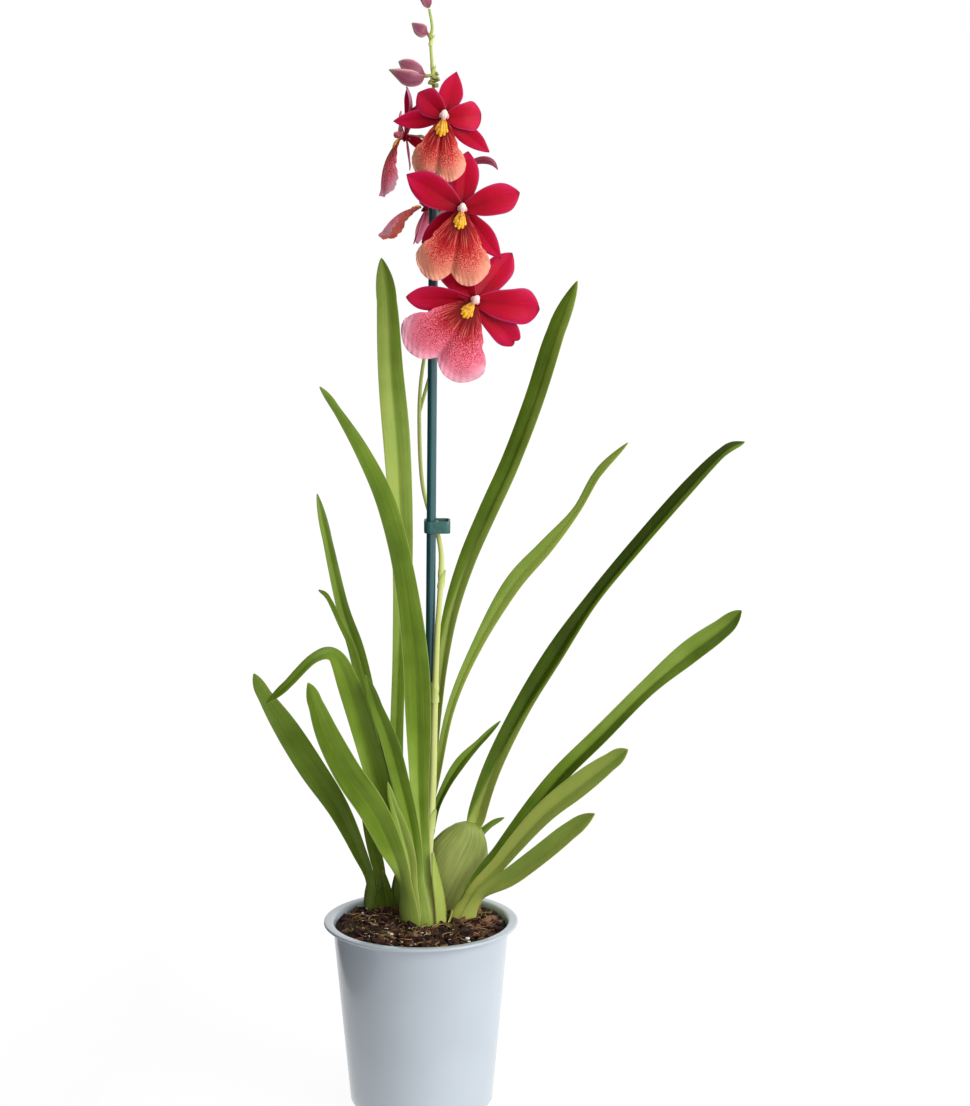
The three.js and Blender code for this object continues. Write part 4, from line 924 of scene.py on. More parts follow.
def leaf_sections(leaf):
    """The leaf's sections from its foot to its tip: how far along it is, its frame, how much it clings to
    its growth, and its height."""
    _, foot, end, *_ = leaf["clasp"]
    rows = leaf["rows"]
    length = sum((Vector(a[:3]) - Vector(b[:3])).length for a, b in zip(rows, rows[1:]))
    stations = round(length / LEAF_STEP)
    frames = blade_frames(rows, leaf["facing"], leaf["fold"], stations)
    heights = [frame[0].z for frame in frames]
    first = next(k for k, z in enumerate(heights) if z > end)
    steps = round((end - foot) / CLASP_STEP)
    sections = []
    for step in range(steps):
        z = foot + (end - foot) * step / steps
        k = max(sum(height <= z for height in heights[:first]) - 1, 0)
        u = min(max((z - heights[k]) / (heights[k + 1] - heights[k]), 0), 1)
        middle, side, up = (frames[k][n].lerp(frames[k + 1][n], u) for n in range(3))
        half, rise = (frames[k][n] * (1 - u) + frames[k + 1][n] * u for n in (3, 4))
        middle.z = z
        free = min(max((z - foot - 3) / (end - foot - 3), 0), 1)
        sections.append(((k + u) / stations, (middle, side, up, half, rise), 1 - free**2 * (3 - 2 * free), z))
    sections += [(k / stations, frames[k], 0, heights[k]) for k in range(first, stations + 1)]
    return sections, length


def leaf_blade(name, leaf):
    """One leaf: a folded strap, its halves slightly hollow and its margins gently waved, on a wide base
    that clasps its growth."""
    growth, _, _, left, right, stand_off = leaf["clasp"]
    sections, length = leaf_sections(leaf)
    last = len(sections) - 1
    swing = draw.uniform(0, 6.3)
    widest = max(row[3] for row in leaf["rows"])
    last_row = 1 - 1 / (len(leaf["rows"]) - 1)

    def place(s, t):
        run, (middle, side, up, half, rise), cling, z = sections[round(t * last)]
        if run > last_row:
            to_tip = (run - last_row) / (1 - last_row)
            half = leaf["rows"][-2][3] * (1 - to_tip**1.9) ** 0.8 + 0.25
        keel = sqrt(s * s + 0.004) - 0.0632
        lift = (keel / 0.9388 - 1) * rise + 0.05 * half * sin(pi * abs(s))
        ripple = leaf["wave"] * s**2 * sin(length * run / 17 + (1.9 if s > 0 else 0) + swing)
        lift += ripple * min(1, half / widest) * min(1, 4 * run) * 0.6
        blade = middle + side * s * half + up * lift
        if not cling:
            return blade
        flare = 0.5 * abs(s) ** 3 * (1 - cling) + 0.2 * sin(3 * s + z / 5 + swing)
        bearing = left + (right - left) * (s + 1) / 2
        return blade.lerp(on_growth(GROWTHS[growth]["rows"], z, bearing, stand_off + flare), cling)

    def tone(s, t):
        run, _, cling, z = sections[round(t * last)]
        # The halves are painted light and shade: one side of the fold is painted darker, the other lighter.
        step, seam = row_at(leaf["halves"], run)
        return value_at(leaf["tones"], run) + step * tanh(7 * (s - seam)) * (1 - cling) - 0.12 * cling

    def margin(s, t):
        return abs(s) if t < 0.97 else max(abs(s), 33 * (t - 0.97))

    marks = {**skin_marks(0, 0, widest, length, margin), "tone": tone}
    return shaped_grid(name, LEAF_COLUMNS, last, place, marks)


def flesh_out(sheet, columns, thickness, taper, power, upper, under):
    """Turns a sheet into a closed body that is thinner towards its margins, with a material to each face."""
    group = sheet.vertex_groups.new(name="full_thickness")
    for corner in sheet.data.vertices:
        s = 2 * (corner.index % (columns + 1)) / columns - 1
        group.add([corner.index], 1 - taper * abs(s) ** power, "REPLACE")
    sheet.data.materials.append(upper)
    sheet.data.materials.append(under)
    apply_modifier(
        sheet, "SOLIDIFY", thickness=thickness * MM, offset=0, vertex_group=group.name,
        thickness_vertex_group=0, material_offset=1, material_offset_rim=0,
    )
    apply_modifier(sheet, "SUBSURF", levels=1, render_levels=1)
    return sheet


# A leaf's upper face has a soft waxy gloss; its underside is paler and more matt.
leaf_upper = living_green("leaf_upper_waxy", 0, 0.4)
leaf_under = living_green("leaf_underside_matt", -0.12, 0.52)
for name, leaf in LEAVES.items():
    blade = leaf_blade("blade_" + name, leaf)
    flesh_out(blade, LEAF_COLUMNS, LEAF_THICKNESS, 0.55, 2.5, leaf_upper, leaf_under)
    dress(blade, "leaf", "leaf_" + name)

# Flower spike
# One smooth stem with a small bract at each joint, pale yellow-green below and greener above. It rises in
# front of the stake, passes behind it in the clip and carries every flower on its own thin stalk.

# Stems and stalks are rows of (x, y, z, radius).
SPIKE = [
    (3.2, 13.6, 128, 2.5), (4.9, 14, 160, 2.6), (7.1, 14, 199, 2.5), (8.4, 14.6, 243, 2.2),
    (10.2, 16.8, 289, 1.7), (12.8, 21.5, 332, 1.75), (12, 25.6, 347.5, 1.5), (8.4, 28.4, 360, 1.4),
    (4.2, 30, 371, 1.3), (0.8, 30.8, 388, 1.25), (-0.5, 31, 417, 1.25), (0.4, 31, 446, 1.15),
    (5.9, 31, 484, 1.1), (8.5, 30.5, 530, 1.05), (9.2, 28.5, 575, 1), (9.5, 24, 612, 0.95),
    (8.2, 22, 636, 0.95), (7.4, 22, 651, 0.9), (8.3, 22, 659, 0.85), (6.6, 22, 669.3, 0.75),
]
SPIKE_STATIONS = 260

# A bract is (height, bearing in radians, size, lean)
BRACTS = [
    (326, -0.3, 3.1, 0.25), (256, -2.6, 3.5, 0.3), (176, -0.6, 3.8, 0.25), (631, -0.5, 2.3, 0.5),
    (650.5, 0.2, 1.5, 0.4),
]

# Each flower: its hub, the way it faces, its dorsal direction, the tips of its tepals as (across, up, out,
# half width, arch, bluntness, cup, bow, notch), the tilt and size of its lip, the share of a full column
# that it has, and its stalk. A cup folds a tepal deeper, and a bow bends it upwards on its way.
BLOOMS = {
    "top": {
        "hub": (16.1, -2, 606.2), "facing": (-0.05, -1, 0.02), "dorsal": (0.2, 0, 1),
        "tepals": [
            (0.6, 27.5, -13, 7.3, 3, 0), (-18.5, 11, -10, 8, 4, 0.9),
            (20.8, 4.8, -8, 7.9, 4, 1.5, 0, 0, 0.03), (-30, -8.5, -6, 5.6, 2, 0.1),
            (29.5, -15, -8, 5.8, 2, 0.1),
        ],
        "lip": {"turn": (-5, -8, 3), "length": 37, "width": 16.4, "droop": 0.2}, "lip_colour": "salmon",
        "column": 1, "stalk": [(9.4, 24.5, 607, 0.8), (11, 18, 609, 0.9), (13.5, 11, 609, 1)],
    },
    "middle": {
        "hub": (26.1, -6, 552.9), "facing": (0.02, -1, -0.02), "dorsal": (0.14, 0, 1),
        "tepals": [
            (-1, 33.5, -11, 8, 2, 0.6), (-35, 15.5, 0, 9.6, 4, 0.35), (32.4, 13.8, -4, 9, 4, 0.9),
            (-21, -24, -8, 6.4, 3, 0.1), (27, -26, -2, 6.6, 4, 0.1),
        ],
        "lip": {"turn": (-3, 0, -2), "length": 44, "width": 22.3, "droop": 0.1}, "lip_colour": "salmon",
        "column": 1, "stalk": [(8.8, 29.8, 546, 0.8), (13, 24, 551, 0.9), (20.5, 11, 554, 1)],
    },
    "bottom": {
        "hub": (33.1, -8, 499), "facing": (0.04, -1, 0.05), "dorsal": (0.72, 0, 1),
        "tepals": [
            (2.5, 36.5, -11, 8.4, 1, 0.8), (-28, 10.4, -13, 8.6, 2, 1.2), (34.6, 18.8, -4, 9.8, 4, 1.5),
            (-34, -21.8, -5, 7.2, 2, 0.9), (37.5, -5.4, -6, 7.8, 3, 1.2, 0, 0, 0.1),
        ],
        "lip": {"turn": (-3, 0, 2), "length": 46.5, "width": 28.5, "droop": 0.1}, "lip_colour": "pink",
        "column": 1,
        "stalk": [
            (-0.4, 31, 428, 0.9), (2.4, 31.6, 438.4, 1.05), (7.9, 33, 456.6, 1), (14, 30, 471, 1),
            (23, 17, 486, 1),
        ],
    },
    "left_upper": {
        "hub": (-8, 17, 594.5), "facing": (-1, -0.24, 0), "dorsal": (-0.02, 0, 1),
        "tepals": [
            (0, 29.5, -1, 6.2, 2, 0.6, 0.5), (-27, 12, -4, 7.4, 4, 0.8), (9, 20, -9, 6.6, 2, 0.7),
            (-22, -20, -7, 6, 3, 0.2), (9, -11, -15, 5.4, 2, 0.2),
        ],
        "lip": {"turn": (-21, 0, 0), "length": 37, "width": 16, "droop": 0.45, "taper": 0.5},
        "lip_colour": "pink", "column": 0.5,
        "stalk": [(9, 28, 584, 0.8), (7, 25, 590, 0.9), (2.5, 20.5, 594.5, 1)],
    },
    "left_lower": {
        "hub": (3.5, 46, 551), "facing": (-0.6, 0.25, 0.75), "dorsal": (0.8, 0, 0.6),
        "tepals": [
            (0, 24, -6, 6.4, 2, 0.3), (-20, 6, -14, 7, 3, 0.8), (7, 19, -14, 6, 2, 0.7),
            (-22, -18, -8, 6, 3, 0.2), (8, -19, -14, 5.6, 5, 0.2),
        ],
        "lip": {"turn": (-6, 0, 0), "length": 32.5, "width": 14, "droop": 0.4, "taper": 0.35},
        "lip_colour": "pink", "column": 0.5,
        "stalk": [(8.6, 30.6, 530, 0.8), (9, 35.5, 535, 0.9), (9, 41, 540, 1)],
    },
    "rear": {
        "hub": (23.2, 52, 574.4), "facing": (0.5, 0.87, 0), "dorsal": (0.4, -0.2, 1),
        "tepals": [
            (0, 14, -12, 5.5, 3, 0.3), (-26, 12, -2, 2.4, 3, 0.1, 0, 13), (26, 10, -2, 7.4, 4, 0.8),
            (-20, -18, -6, 5.4, 3, 0.2), (20, -18, -6, 5.4, 3, 0.2),
        ],
        "lip": {"turn": (-20, 0, 0), "length": 32, "width": 15, "droop": 0.24}, "lip_colour": "salmon",
        "column": 1, "stalk": [(9, 29.6, 562, 0.8), (12, 35, 567, 0.9), (16, 41.5, 572, 1)],
    },
}
HUB_BACK = 2.8


def joint_swell(angle, t):
    """The stem's radius grows by a fifth just above each bract."""
    z = row_at(SPIKE, (t * (SPIKE_STATIONS + 2) - 1) / SPIKE_STATIONS)[2]
    near = min(abs(z - bract[0] - 4) for bract in BRACTS)
    return 1 + 0.22 * exp(-((near / 2.2) ** 2)) + 0.03 * sin(5 * angle + 0.02 * z)


stems = [tube("stem", SPIKE, 20, SPIKE_STATIONS, skin_marks(0, 0.42, 8, 560), joint_swell)]
for bloom in BLOOMS.values():
    out = Vector(bloom["facing"]).normalized()
    hub = Vector(bloom["hub"])
    behind = [(*(hub - out * back), radius) for back, radius in ((7, 1.15), (HUB_BACK + 0.6, 1.55), (1, 1.7))]
    stems.append(tube("stalk", bloom["stalk"] + behind, 14, 40, skin_marks(0.42, 0.95, 4, 40)))


def stem_at(z):
    """The spike's (x, y, radius) at a height."""
    k = sum(row[2] <= z for row in SPIKE) - 1
    u = (z - SPIKE[k][2]) / (SPIKE[k + 1][2] - SPIKE[k][2])
    x, y, _, radius = row_at(SPIKE, (k + u) / (len(SPIKE) - 1))
    return x, y, radius


def bract_scale(z, bearing, length, lean):
    """A small pointed scale that wraps the stem at a joint and leaves it a little at its tip."""

    def place(s, t):
        height = z - 0.4 * length + length * t
        x, y, radius = stem_at(height)
        angle = bearing + (1 - t**1.5) * 2.7 * s
        wide = radius + 0.2 + 0.12 * sin(pi * t) + lean * t**2 * cos(angle - bearing)
        return Vector((x + wide * cos(angle), y + wide * sin(angle), height))

    shape = shaped_grid("bract", 14, 14, place, skin_marks(0.05, 0.4, 5, 9))
    apply_modifier(shape, "SOLIDIFY", thickness=0.35 * MM, offset=1, use_even_offset=False)
    return shape


stems += [bract_scale(z, bearing, 3 * size + 2, 2.2 * lean) for z, bearing, size, lean in BRACTS]
# Short stubs, where buds have dropped, make the joint at the lowest bud knobbly.
STUBS = [
    ((3.4, -1.6, 2.2), 626.5), ((3, -0.8, 1.8), 630), ((1.2, -2.6, 1.8), 628), ((-2.4, -1.4, 1.2), 625.5),
    ((2.2, -2.4, 0.2), 624.5),
]
for (dx, dy, dz), z in STUBS:
    x, y, _ = stem_at(z)
    steps = ((0, 0.9), (0.6, 1.2), (1, 1.45))
    rows = [(x + share * dx, y + share * dy, z + share * dz, radius) for share, radius in steps]
    stems.append(tube("stub", rows, 12, 8, skin_marks(0.5, 0.62, 4, 4)))
STEM_GREENS = [
    (0.0, "#c9cc86"), (0.2, "#bcc472"), (0.42, "#9db35a"), (0.62, "#8d9350"), (0.8, "#9a6a55"),
    (1, "#a2475f"),
]
# A flower stem is smooth and faintly waxy, and reddens where its stalks meet the flowers.
stem_skin = living_green("flower_stem_smooth", 0, 0.45, greens=STEM_GREENS)
dress(joined("spike_stem", stems), "stem", "flower_spike", materials=[stem_skin])

# Petals and sepals
# Five crimson tepals to a flower: a soft, slightly velvety skin, darker at the heart, pinker towards a
# thin margin, and dull mauve on the back. They meet on a small boss in front of the stalk.
TEPAL_COLUMNS = 14
TEPAL_STATIONS = 26
TEPAL_THICKNESS = 0.6
HUB_RADIUS = 3.2
HUB_FRONT = 1.6


def tepal_sheet(layer, tip_across, tip_up, tip_out, half_width, arch, blunt, cup=0, bow=0, notch=0):
    """One tepal in its flower's own directions: across, up and out."""
    tip = Vector((tip_across, tip_up, tip_out))
    middle = tip / 2 + Vector((0, bow, arch))
    widths = (0.36, 0.8, 1, 0.74 + 0.24 * blunt, 0.05 + 0.42 * blunt)
    swing = draw.uniform(0, 6.3)
    shoulder = 0.8 if blunt > 0.25 else 0.93
    wave = draw.uniform(0.35, 0.6)

    def place(s, t):
        rounding = sqrt(max(0, 1 - (max(0, t - shoulder) / (1 - shoulder)) ** 2))
        half = half_width * value_at(widths, t) * max(rounding, 0.02)
        half *= 1 + 0.05 * sin(7 * t + 1.7 * s + swing) * abs(s) * t
        off_notch = (s * half / half_width - 0.05) / 0.2
        run = (0.06 + 0.94 * t) * (1 - notch * t**6 * exp(-(off_notch**2)))
        point = middle * (2 * run * (1 - run)) + tip * run**2
        tangent = (middle * (2 - 4 * run) + tip * (2 * run)).normalized()
        up = (Vector((0, 0, 1)) - tangent * tangent.z).normalized()
        across = abs(s)
        rise = half * (0.16 + 0.14 * (1 - t) ** 2 + cup)
        lift = (across**1.5 - 1) * rise - 0.12 * half * max(0, across - 0.55) ** 2 / 0.2
        lift += wave * across**2 * sin(9 * t + 2.1 * s + swing) * t
        lift -= 0.35 * exp(-((s / 0.07) ** 2)) * (1 - t)
        return point + tangent.cross(up) * s * half + up * (lift + layer * (1 + 2.2 * sin(pi * t)))

    marks = {
        "across": lambda s, t: s,
        "along": lambda s, t: t,
        "across_mm": lambda s, t: s * half_width * (0.4 + 0.6 * sin(pi * min(1, t + 0.15))),
        "along_mm": lambda s, t: tip.length * t,
    }
    return shaped_grid("tepal", TEPAL_COLUMNS, TEPAL_STATIONS, place, marks)


def petal_skin(name, heart, middle, broad, margin, rim, roughness):
    """Soft petal tissue: colours from the heart outwards, fine veins along it, a thin paler rim and a
    dull dark point."""
    material = surface(
        name, Roughness=roughness, Specular_IOR_Level=0.1, Sheen_Weight=0.04, Sheen_Roughness=0.4,
        Sheen_Tint=colour("#ff3060"), Subsurface_Weight=0.1, Subsurface_Radius=(0.002, 0.0004, 0.0004),
    )
    along = add_node(material, "Attribute", attribute_name="along")
    across = add_node(material, "Attribute", attribute_name="across")
    side = add_node(material, "Math", {0: across}, operation="ABSOLUTE")
    # Veins stand about 0.5 mm apart and run the length of the petal.
    veins_at = drawn_out(material, "across_mm", 2, "along_mm", 0.06)
    veins = add_node(material, "TexNoise", {"Vector": veins_at, "Scale": 1, "Detail": 2})
    place = add_node(material, "TexCoord")
    patches = add_node(material, "TexNoise", {"Vector": place, "Scale": 90, "Detail": 2})
    outward = add_node(material, "Math", {0: side, 1: 0.3, 2: along}, operation="MULTIPLY_ADD")
    patched = add_node(material, "Math", {0: patches, 1: 0.6, 2: outward}, operation="MULTIPLY_ADD")
    veined = add_node(material, "Math", {0: veins, 1: 0.45, 2: patched}, operation="MULTIPLY_ADD")
    level = add_node(material, "Math", {0: veined, 1: -0.52})
    stops = [(0.0, heart), (0.3, middle), (0.72, broad), (1, margin)]
    body = add_node(material, "ValToRGB", {0: level}, stops)
    edge = add_node(material, "MapRange", {"Value": side, "From Min": 0.86, "From Max": 1, "To Max": 0.85})
    rimmed = add_node(material, "Mix", {0: edge, 6: body, 7: colour(rim)}, data_type="RGBA")
    point = add_node(material, "MapRange", {"Value": along, "From Min": 0.94, "From Max": 1, "To Max": 0.85})
    shades = {0: point, 6: rimmed, 7: colour("#3e2030")}
    add_node(material, "Mix", shades, into="Base Color", data_type="RGBA")
    add_node(material, "Bump", {"Height": veins, "Strength": 0.4, "Distance": 0.25 * MM}, into="Normal")
    return material


# A petal's front is deep crimson with a faint velvet sheen; its back is duller mauve.
crimson = petal_skin("petal_skin_crimson", "#6c0010", "#9a001c", "#b00028", "#b80c3c", "#a8386c", 0.45)
mauve = petal_skin("petal_back_mauve", "#7a1c38", "#9a3450", "#ac5068", "#b9708a", "#b07090", 0.6)


def flower_turn(bloom):
    """The matrix from a flower's own directions, in millimetres, to the part's frame, in metres."""
    out = Vector(bloom["facing"]).normalized()
    across = Vector(bloom["dorsal"]).cross(out).normalized()
    turn = Matrix((across, out.cross(across), out)).transposed().to_4x4()
    return Matrix.Translation(Vector(bloom["hub"]) * MM) @ turn


TEPAL_LAYERS = (-0.2, 0.5, 0.5, -0.5, -0.5)
PETAL_MARKS = ("across", "along", "across_mm", "along_mm")
for name, bloom in BLOOMS.items():
    sheets = []
    for row, layer in zip(bloom["tepals"], TEPAL_LAYERS):
        sheet = tepal_sheet(layer, *row)
        sheets.append(flesh_out(sheet, TEPAL_COLUMNS, TEPAL_THICKNESS, 0.6, 3, crimson, mauve))
    bpy.ops.mesh.primitive_uv_sphere_add(segments=28, ring_count=16, radius=1)
    boss = bpy.context.object
    for corner in boss.data.vertices:
        wide, depth = (HUB_RADIUS, HUB_FRONT) if corner.co.z > 0 else (0.75 * HUB_RADIUS, HUB_BACK)
        corner.co = corner.co * Vector((wide, wide, depth)) * MM
    for mark_name in PETAL_MARKS:
        mark(boss, mark_name, 0)
    boss.data.materials.append(crimson)
    petals = joined("petals_" + name, [boss] + sheets[::-1])
    petals.data.transform(flower_turn(bloom))
    dress(petals, "tepals", "bloom_" + name + "_tepals")

# Lips
# The broad lower petal: a narrow claw under the crest, shoulders, and two round lobes with a notch between
# them, gently ruffled. Salmon or pink, with dark red streaks that fan out of the throat into fine dots.
LIP_WIDTHS = (0.14, 0.38, 0.58, 0.78, 0.93, 1, 0.96)
LIP_START = 1.5
LIP_ARCH = 3.2
LIP_CURL = 2
LIP_NOTCH = 0.15
LIP_CORNER = 0.22
LIP_COLUMNS = 60
LIP_STATIONS = 44
LIP_THICKNESS = 0.6
THROAT = 5


def lip_ending(side):
    """How far the lip reaches at a place across it: two round lobes and a notch."""
    if side < 0.42:
        return 1 - LIP_NOTCH * (1 - side / 0.42) ** 2
    return 1 - LIP_CORNER * ((side - 0.42) / 0.58) ** 2.6


def lip_height(t):
    """The lip's middle line arches forward below its claw and curls back at its end."""
    return LIP_ARCH * sin(pi * min(1.1 * t, 1)) - LIP_CURL * t**3


def lip_sheet(name, length, width, droop, taper=0):
    """A lip in its own directions, hanging from its claw."""
    swing = draw.uniform(0, 6.3)

    def place(s, t):
        side = abs(s)
        shoulder = 1 - 0.1 * exp(-(((t - 0.47) / 0.06) ** 2)) * side**2
        half = width * value_at(LIP_WIDTHS, t) * shoulder * (1 - taper * t**2)
        fray = 0.006 * max(0, t - 0.8) * sin(71 * s) * sin(23 * s + swing)
        reach = LIP_START + (length - LIP_START) * t * (1 + (lip_ending(side) - 1) * t + fray)
        half *= 1 + 0.012 * side**8 * sin(61 * t + swing) * sin(19 * t)
        fall = droop * half * side**2 * min(1, 2.2 * t)
        lobes = 1.3 * sin(pi * min(1, side / 0.95)) * t**2
        groove = 0.9 * exp(-((s / 0.1) ** 2)) * min(1, 2 * t)
        ruffle = 0.8 * side**3 * t * sin(15 * t + 3 * s + swing)
        ruffle += 0.7 * t**6 * sin(11 * s + swing) * (1 - exp(-((s / 0.15) ** 2)))
        ruffle += 0.35 * max(side, t) ** 9 * sin(47 * s + 39 * t + swing)
        folds = 0.18 * sin(34 * s) * sin(pi * t) * (1 - t)
        return Vector((-s * half, -reach, lip_height(t) - fall + lobes - groove + ruffle + folds))

    def fan(s, t):
        point = place(s, t)
        return atan2(point.x, -point.y - THROAT + 3.5)

    def ray(s, t):
        point = place(s, t)
        return hypot(point.x, point.y + THROAT)

    def outward(s, t):
        far = abs(s) * min(1, 0.3 + 0.95 * t)
        return min(1, (t**5 + far**5) ** 0.2)

    marks = {"fan": fan, "ray": ray, "outward": outward}
    return shaped_grid(name, LIP_COLUMNS, LIP_STATIONS, place, marks)


def lip_skin(name, ground, dot_sizes):
    """Lip tissue: a ground from the throat outwards, solid red round the crest with pale raised lines that
    fan out of it, then red cells, long near the throat and round further out, which fade at the margin."""
    material = surface(
        name, Roughness=0.5, Specular_IOR_Level=0.15, Sheen_Weight=0.05, Sheen_Roughness=0.5,
        Sheen_Tint=colour("#ffa0a0"), Subsurface_Weight=0.1, Subsurface_Radius=(0.002, 0.0008, 0.0006),
    )
    outward = add_node(material, "Attribute", attribute_name="outward")
    spot = drawn_out(material, "fan", 36, "ray", 0.95)
    warp = add_node(material, "TexNoise", {"Vector": spot, "Scale": 0.9, "Detail": 1}).node.outputs["Color"]
    bent = add_node(material, "Mix", {0: 0.34, 4: spot, 5: warp}, data_type="VECTOR")
    cells = add_node(material, "TexVoronoi", {"Vector": bent, "Scale": 1.95, "Randomness": 0.95})
    size = add_node(material, "ValToRGB", {0: outward}, dot_sizes)
    above = add_node(material, "Math", {0: size, 1: 0.1})
    below = add_node(material, "Math", {0: size, 1: 0.1}, operation="SUBTRACT")
    dots = add_node(material, "MapRange", {"Value": cells, "From Min": above, "From Max": below})
    pale = add_node(material, "ValToRGB", {0: outward}, ground)
    dark = add_node(material, "ValToRGB", {0: outward}, LIP_REDS)
    spotted = add_node(material, "Mix", {0: dots, 6: pale, 7: dark}, data_type="RGBA")
    # Pale raised lines, about 2 mm apart, that end a third of the way out
    ridges_at = drawn_out(material, "fan", 21, "ray", 0.05)
    ridges = add_node(material, "TexNoise", {"Vector": ridges_at, "Scale": 1, "Detail": 1})
    lines = add_node(material, "MapRange", {"Value": ridges, "From Min": 0.58, "From Max": 0.63})
    where = add_node(material, "ValToRGB", {0: outward}, LINE_FADE)
    lined = add_node(material, "Math", {0: lines, 1: where}, operation="MULTIPLY")
    shades = {0: lined, 6: spotted, 7: colour("#e8846a")}
    add_node(material, "Mix", shades, into="Base Color", data_type="RGBA")
    height = add_node(material, "Math", {0: ridges, 1: 1.5, 2: cells}, operation="MULTIPLY_ADD")
    add_node(material, "Bump", {"Height": height, "Strength": 0.4, "Distance": 0.3 * MM}, into="Normal")
    return material


LIP_REDS = [(0.0, "#500006"), (0.3, "#7c0008"), (0.5, "#a60a16"), (0.75, "#c8202e"), (1, "#d04a58")]
LINE_FADE = [(0.26, "#000000"), (0.36, "#c8c8c8"), (0.5, "#b0b0b0"), (0.62, "#000000")]
# Each lip's ground, and the sizes of its dots as shades of grey
LIP_SHADES = {
    "salmon": (
        [
            (0.0, "#6c040a"), (0.34, "#980e14"), (0.48, "#c44238"), (0.62, "#d97360"), (0.9, "#dc8a70"),
            (1, "#e09a84"),
        ],
        [
            (0.0, "#ffffff"), (0.32, "#ffffff"), (0.42, "#ebebeb"), (0.58, "#cccccc"), (0.74, "#b4b4b4"),
            (0.86, "#8c8c8c"), (0.94, "#202020"),
        ],
    ),
    "pink": (
        [
            (0.0, "#6c0410"), (0.3, "#980e1c"), (0.42, "#d0485c"), (0.56, "#e06c82"), (0.85, "#e67e94"),
            (1, "#e2a0b0"),
        ],
        [
            (0.0, "#ffffff"), (0.28, "#ffffff"), (0.38, "#e0e0e0"), (0.54, "#c0c0c0"), (0.76, "#acacac"),
            (0.9, "#8c8c8c"), (0.97, "#202020"),
        ],
    ),
}
# A lip is soft and matt like a petal, and its back is paler and plain.
LIP_SKINS = {tint: lip_skin("lip_skin_" + tint, *shades) for tint, shades in LIP_SHADES.items()}
lip_back = petal_skin("lip_back_pale", "#a83a44", "#d0625c", "#dc7a6a", "#e28c78", "#e4968a", 0.6)


def lip_turn(bloom):
    """The matrix from a lip's own directions, in millimetres, to its flower's."""
    pitch, yaw, roll = (radians(v) for v in bloom["lip"]["turn"])
    turn = Matrix.Rotation(roll, 4, "Z") @ Matrix.Rotation(yaw, 4, "Y") @ Matrix.Rotation(pitch, 4, "X")
    return Matrix.Translation((0, 0, 2.55 * MM)) @ turn


for name, bloom in BLOOMS.items():
    size = bloom["lip"]
    lip = lip_sheet("lip_" + name, size["length"], size["width"], size["droop"], size.get("taper", 0))
    for mark_name in PETAL_MARKS:
        mark(lip, mark_name, 0.5)
    flesh_out(lip, LIP_COLUMNS, LIP_THICKNESS, 0.5, 5, LIP_SKINS[bloom["lip_colour"]], lip_back)
    lip.data.transform(flower_turn(bloom) @ lip_turn(bloom))
    dress(lip, "lip", "bloom_" + name + "_lip")

# Crests and columns
# On each lip's claw sits a golden, five-fingered callus with brown flecks. Over it stands the column, a
# short white-pink post with two wings and a rounded anther cap.
# A finger is (bearing in degrees, reach, thickness).
FINGERS = [(-25, 9.4, 0.85), (-13, 11.2, 1.0), (-1, 11.9, 1.15), (11, 11.3, 1.0), (23, 9.8, 0.85)]
CAP_SIZE = Vector((2.2, 2.8, 2.1))
COLUMN_FOOT = 1.2
COLUMN_LENGTH = 10.2
FULL_TONE = 0.72


def crest_finger(length, bearing, reach, thick):
    """One finger of the crest: it leaves the claw, swells and ends in a blunt knob on the lip."""
    angle = radians(bearing)
    rows = []
    for share, radius in ((0, 0.7), (0.3, 1.05), (0.6, 1.2), (0.85, 1.0), (1, 0.75)):
        far = 1.6 + (reach - 1.6) * share
        t = (far - LIP_START) / (length - LIP_START)
        height = lip_height(t) - 0.15 + thick * (0.65 + 0.9 * sin(pi * min(1, share + 0.12)))
        rows.append((sin(angle) * far * 0.9, -far * cos(angle), height, radius * thick))

    def knobs(around, t):
        return 1 + 0.12 * sin(13 * t + bearing) + 0.06 * sin(3 * around + 9 * t)

    return tube("finger", rows, 12, 18, {}, knobs)


# A callus is waxy and golden, with flecks of brown about 1 mm across.
crest_yellow = surface(
    "callus_waxy_golden", Roughness=0.42, Subsurface_Weight=0.15, Subsurface_Radius=(0.002, 0.001, 0.0003)
)
place = add_node(crest_yellow, "TexCoord")
flecks = add_node(crest_yellow, "TexNoise", {"Vector": place, "Scale": 620, "Detail": 2})
FLECK_STOPS = [(0.28, "#9c4a08"), (0.38, "#cf8a08"), (0.5, "#e8a80c"), (0.75, "#f2c22a")]
add_node(crest_yellow, "ValToRGB", {0: flecks}, FLECK_STOPS, "Base Color")
add_node(crest_yellow, "Bump", {"Height": flecks, "Strength": 0.4, "Distance": 0.25 * MM}, into="Normal")
# A column is waxy white tissue that lets light in, with a blush towards its foot.
column_white = surface(
    "column_waxy_white_pink", Roughness=0.4, Subsurface_Weight=0.2, Subsurface_Radius=(0.002, 0.001, 0.001)
)
place = add_node(column_white, "TexCoord")
specks = add_node(column_white, "TexNoise", {"Vector": place, "Scale": 500, "Detail": 2})
tone = add_node(column_white, "Attribute", attribute_name="tone")
blush = add_node(column_white, "Math", {0: specks, 1: 0.35, 2: tone}, operation="MULTIPLY_ADD")
BLUSH_STOPS = [(0.1, "#b8304c"), (0.42, "#dd8a92"), (0.72, "#ebbab6"), (1, "#f0d8d0")]
add_node(column_white, "ValToRGB", {0: blush}, BLUSH_STOPS, "Base Color")


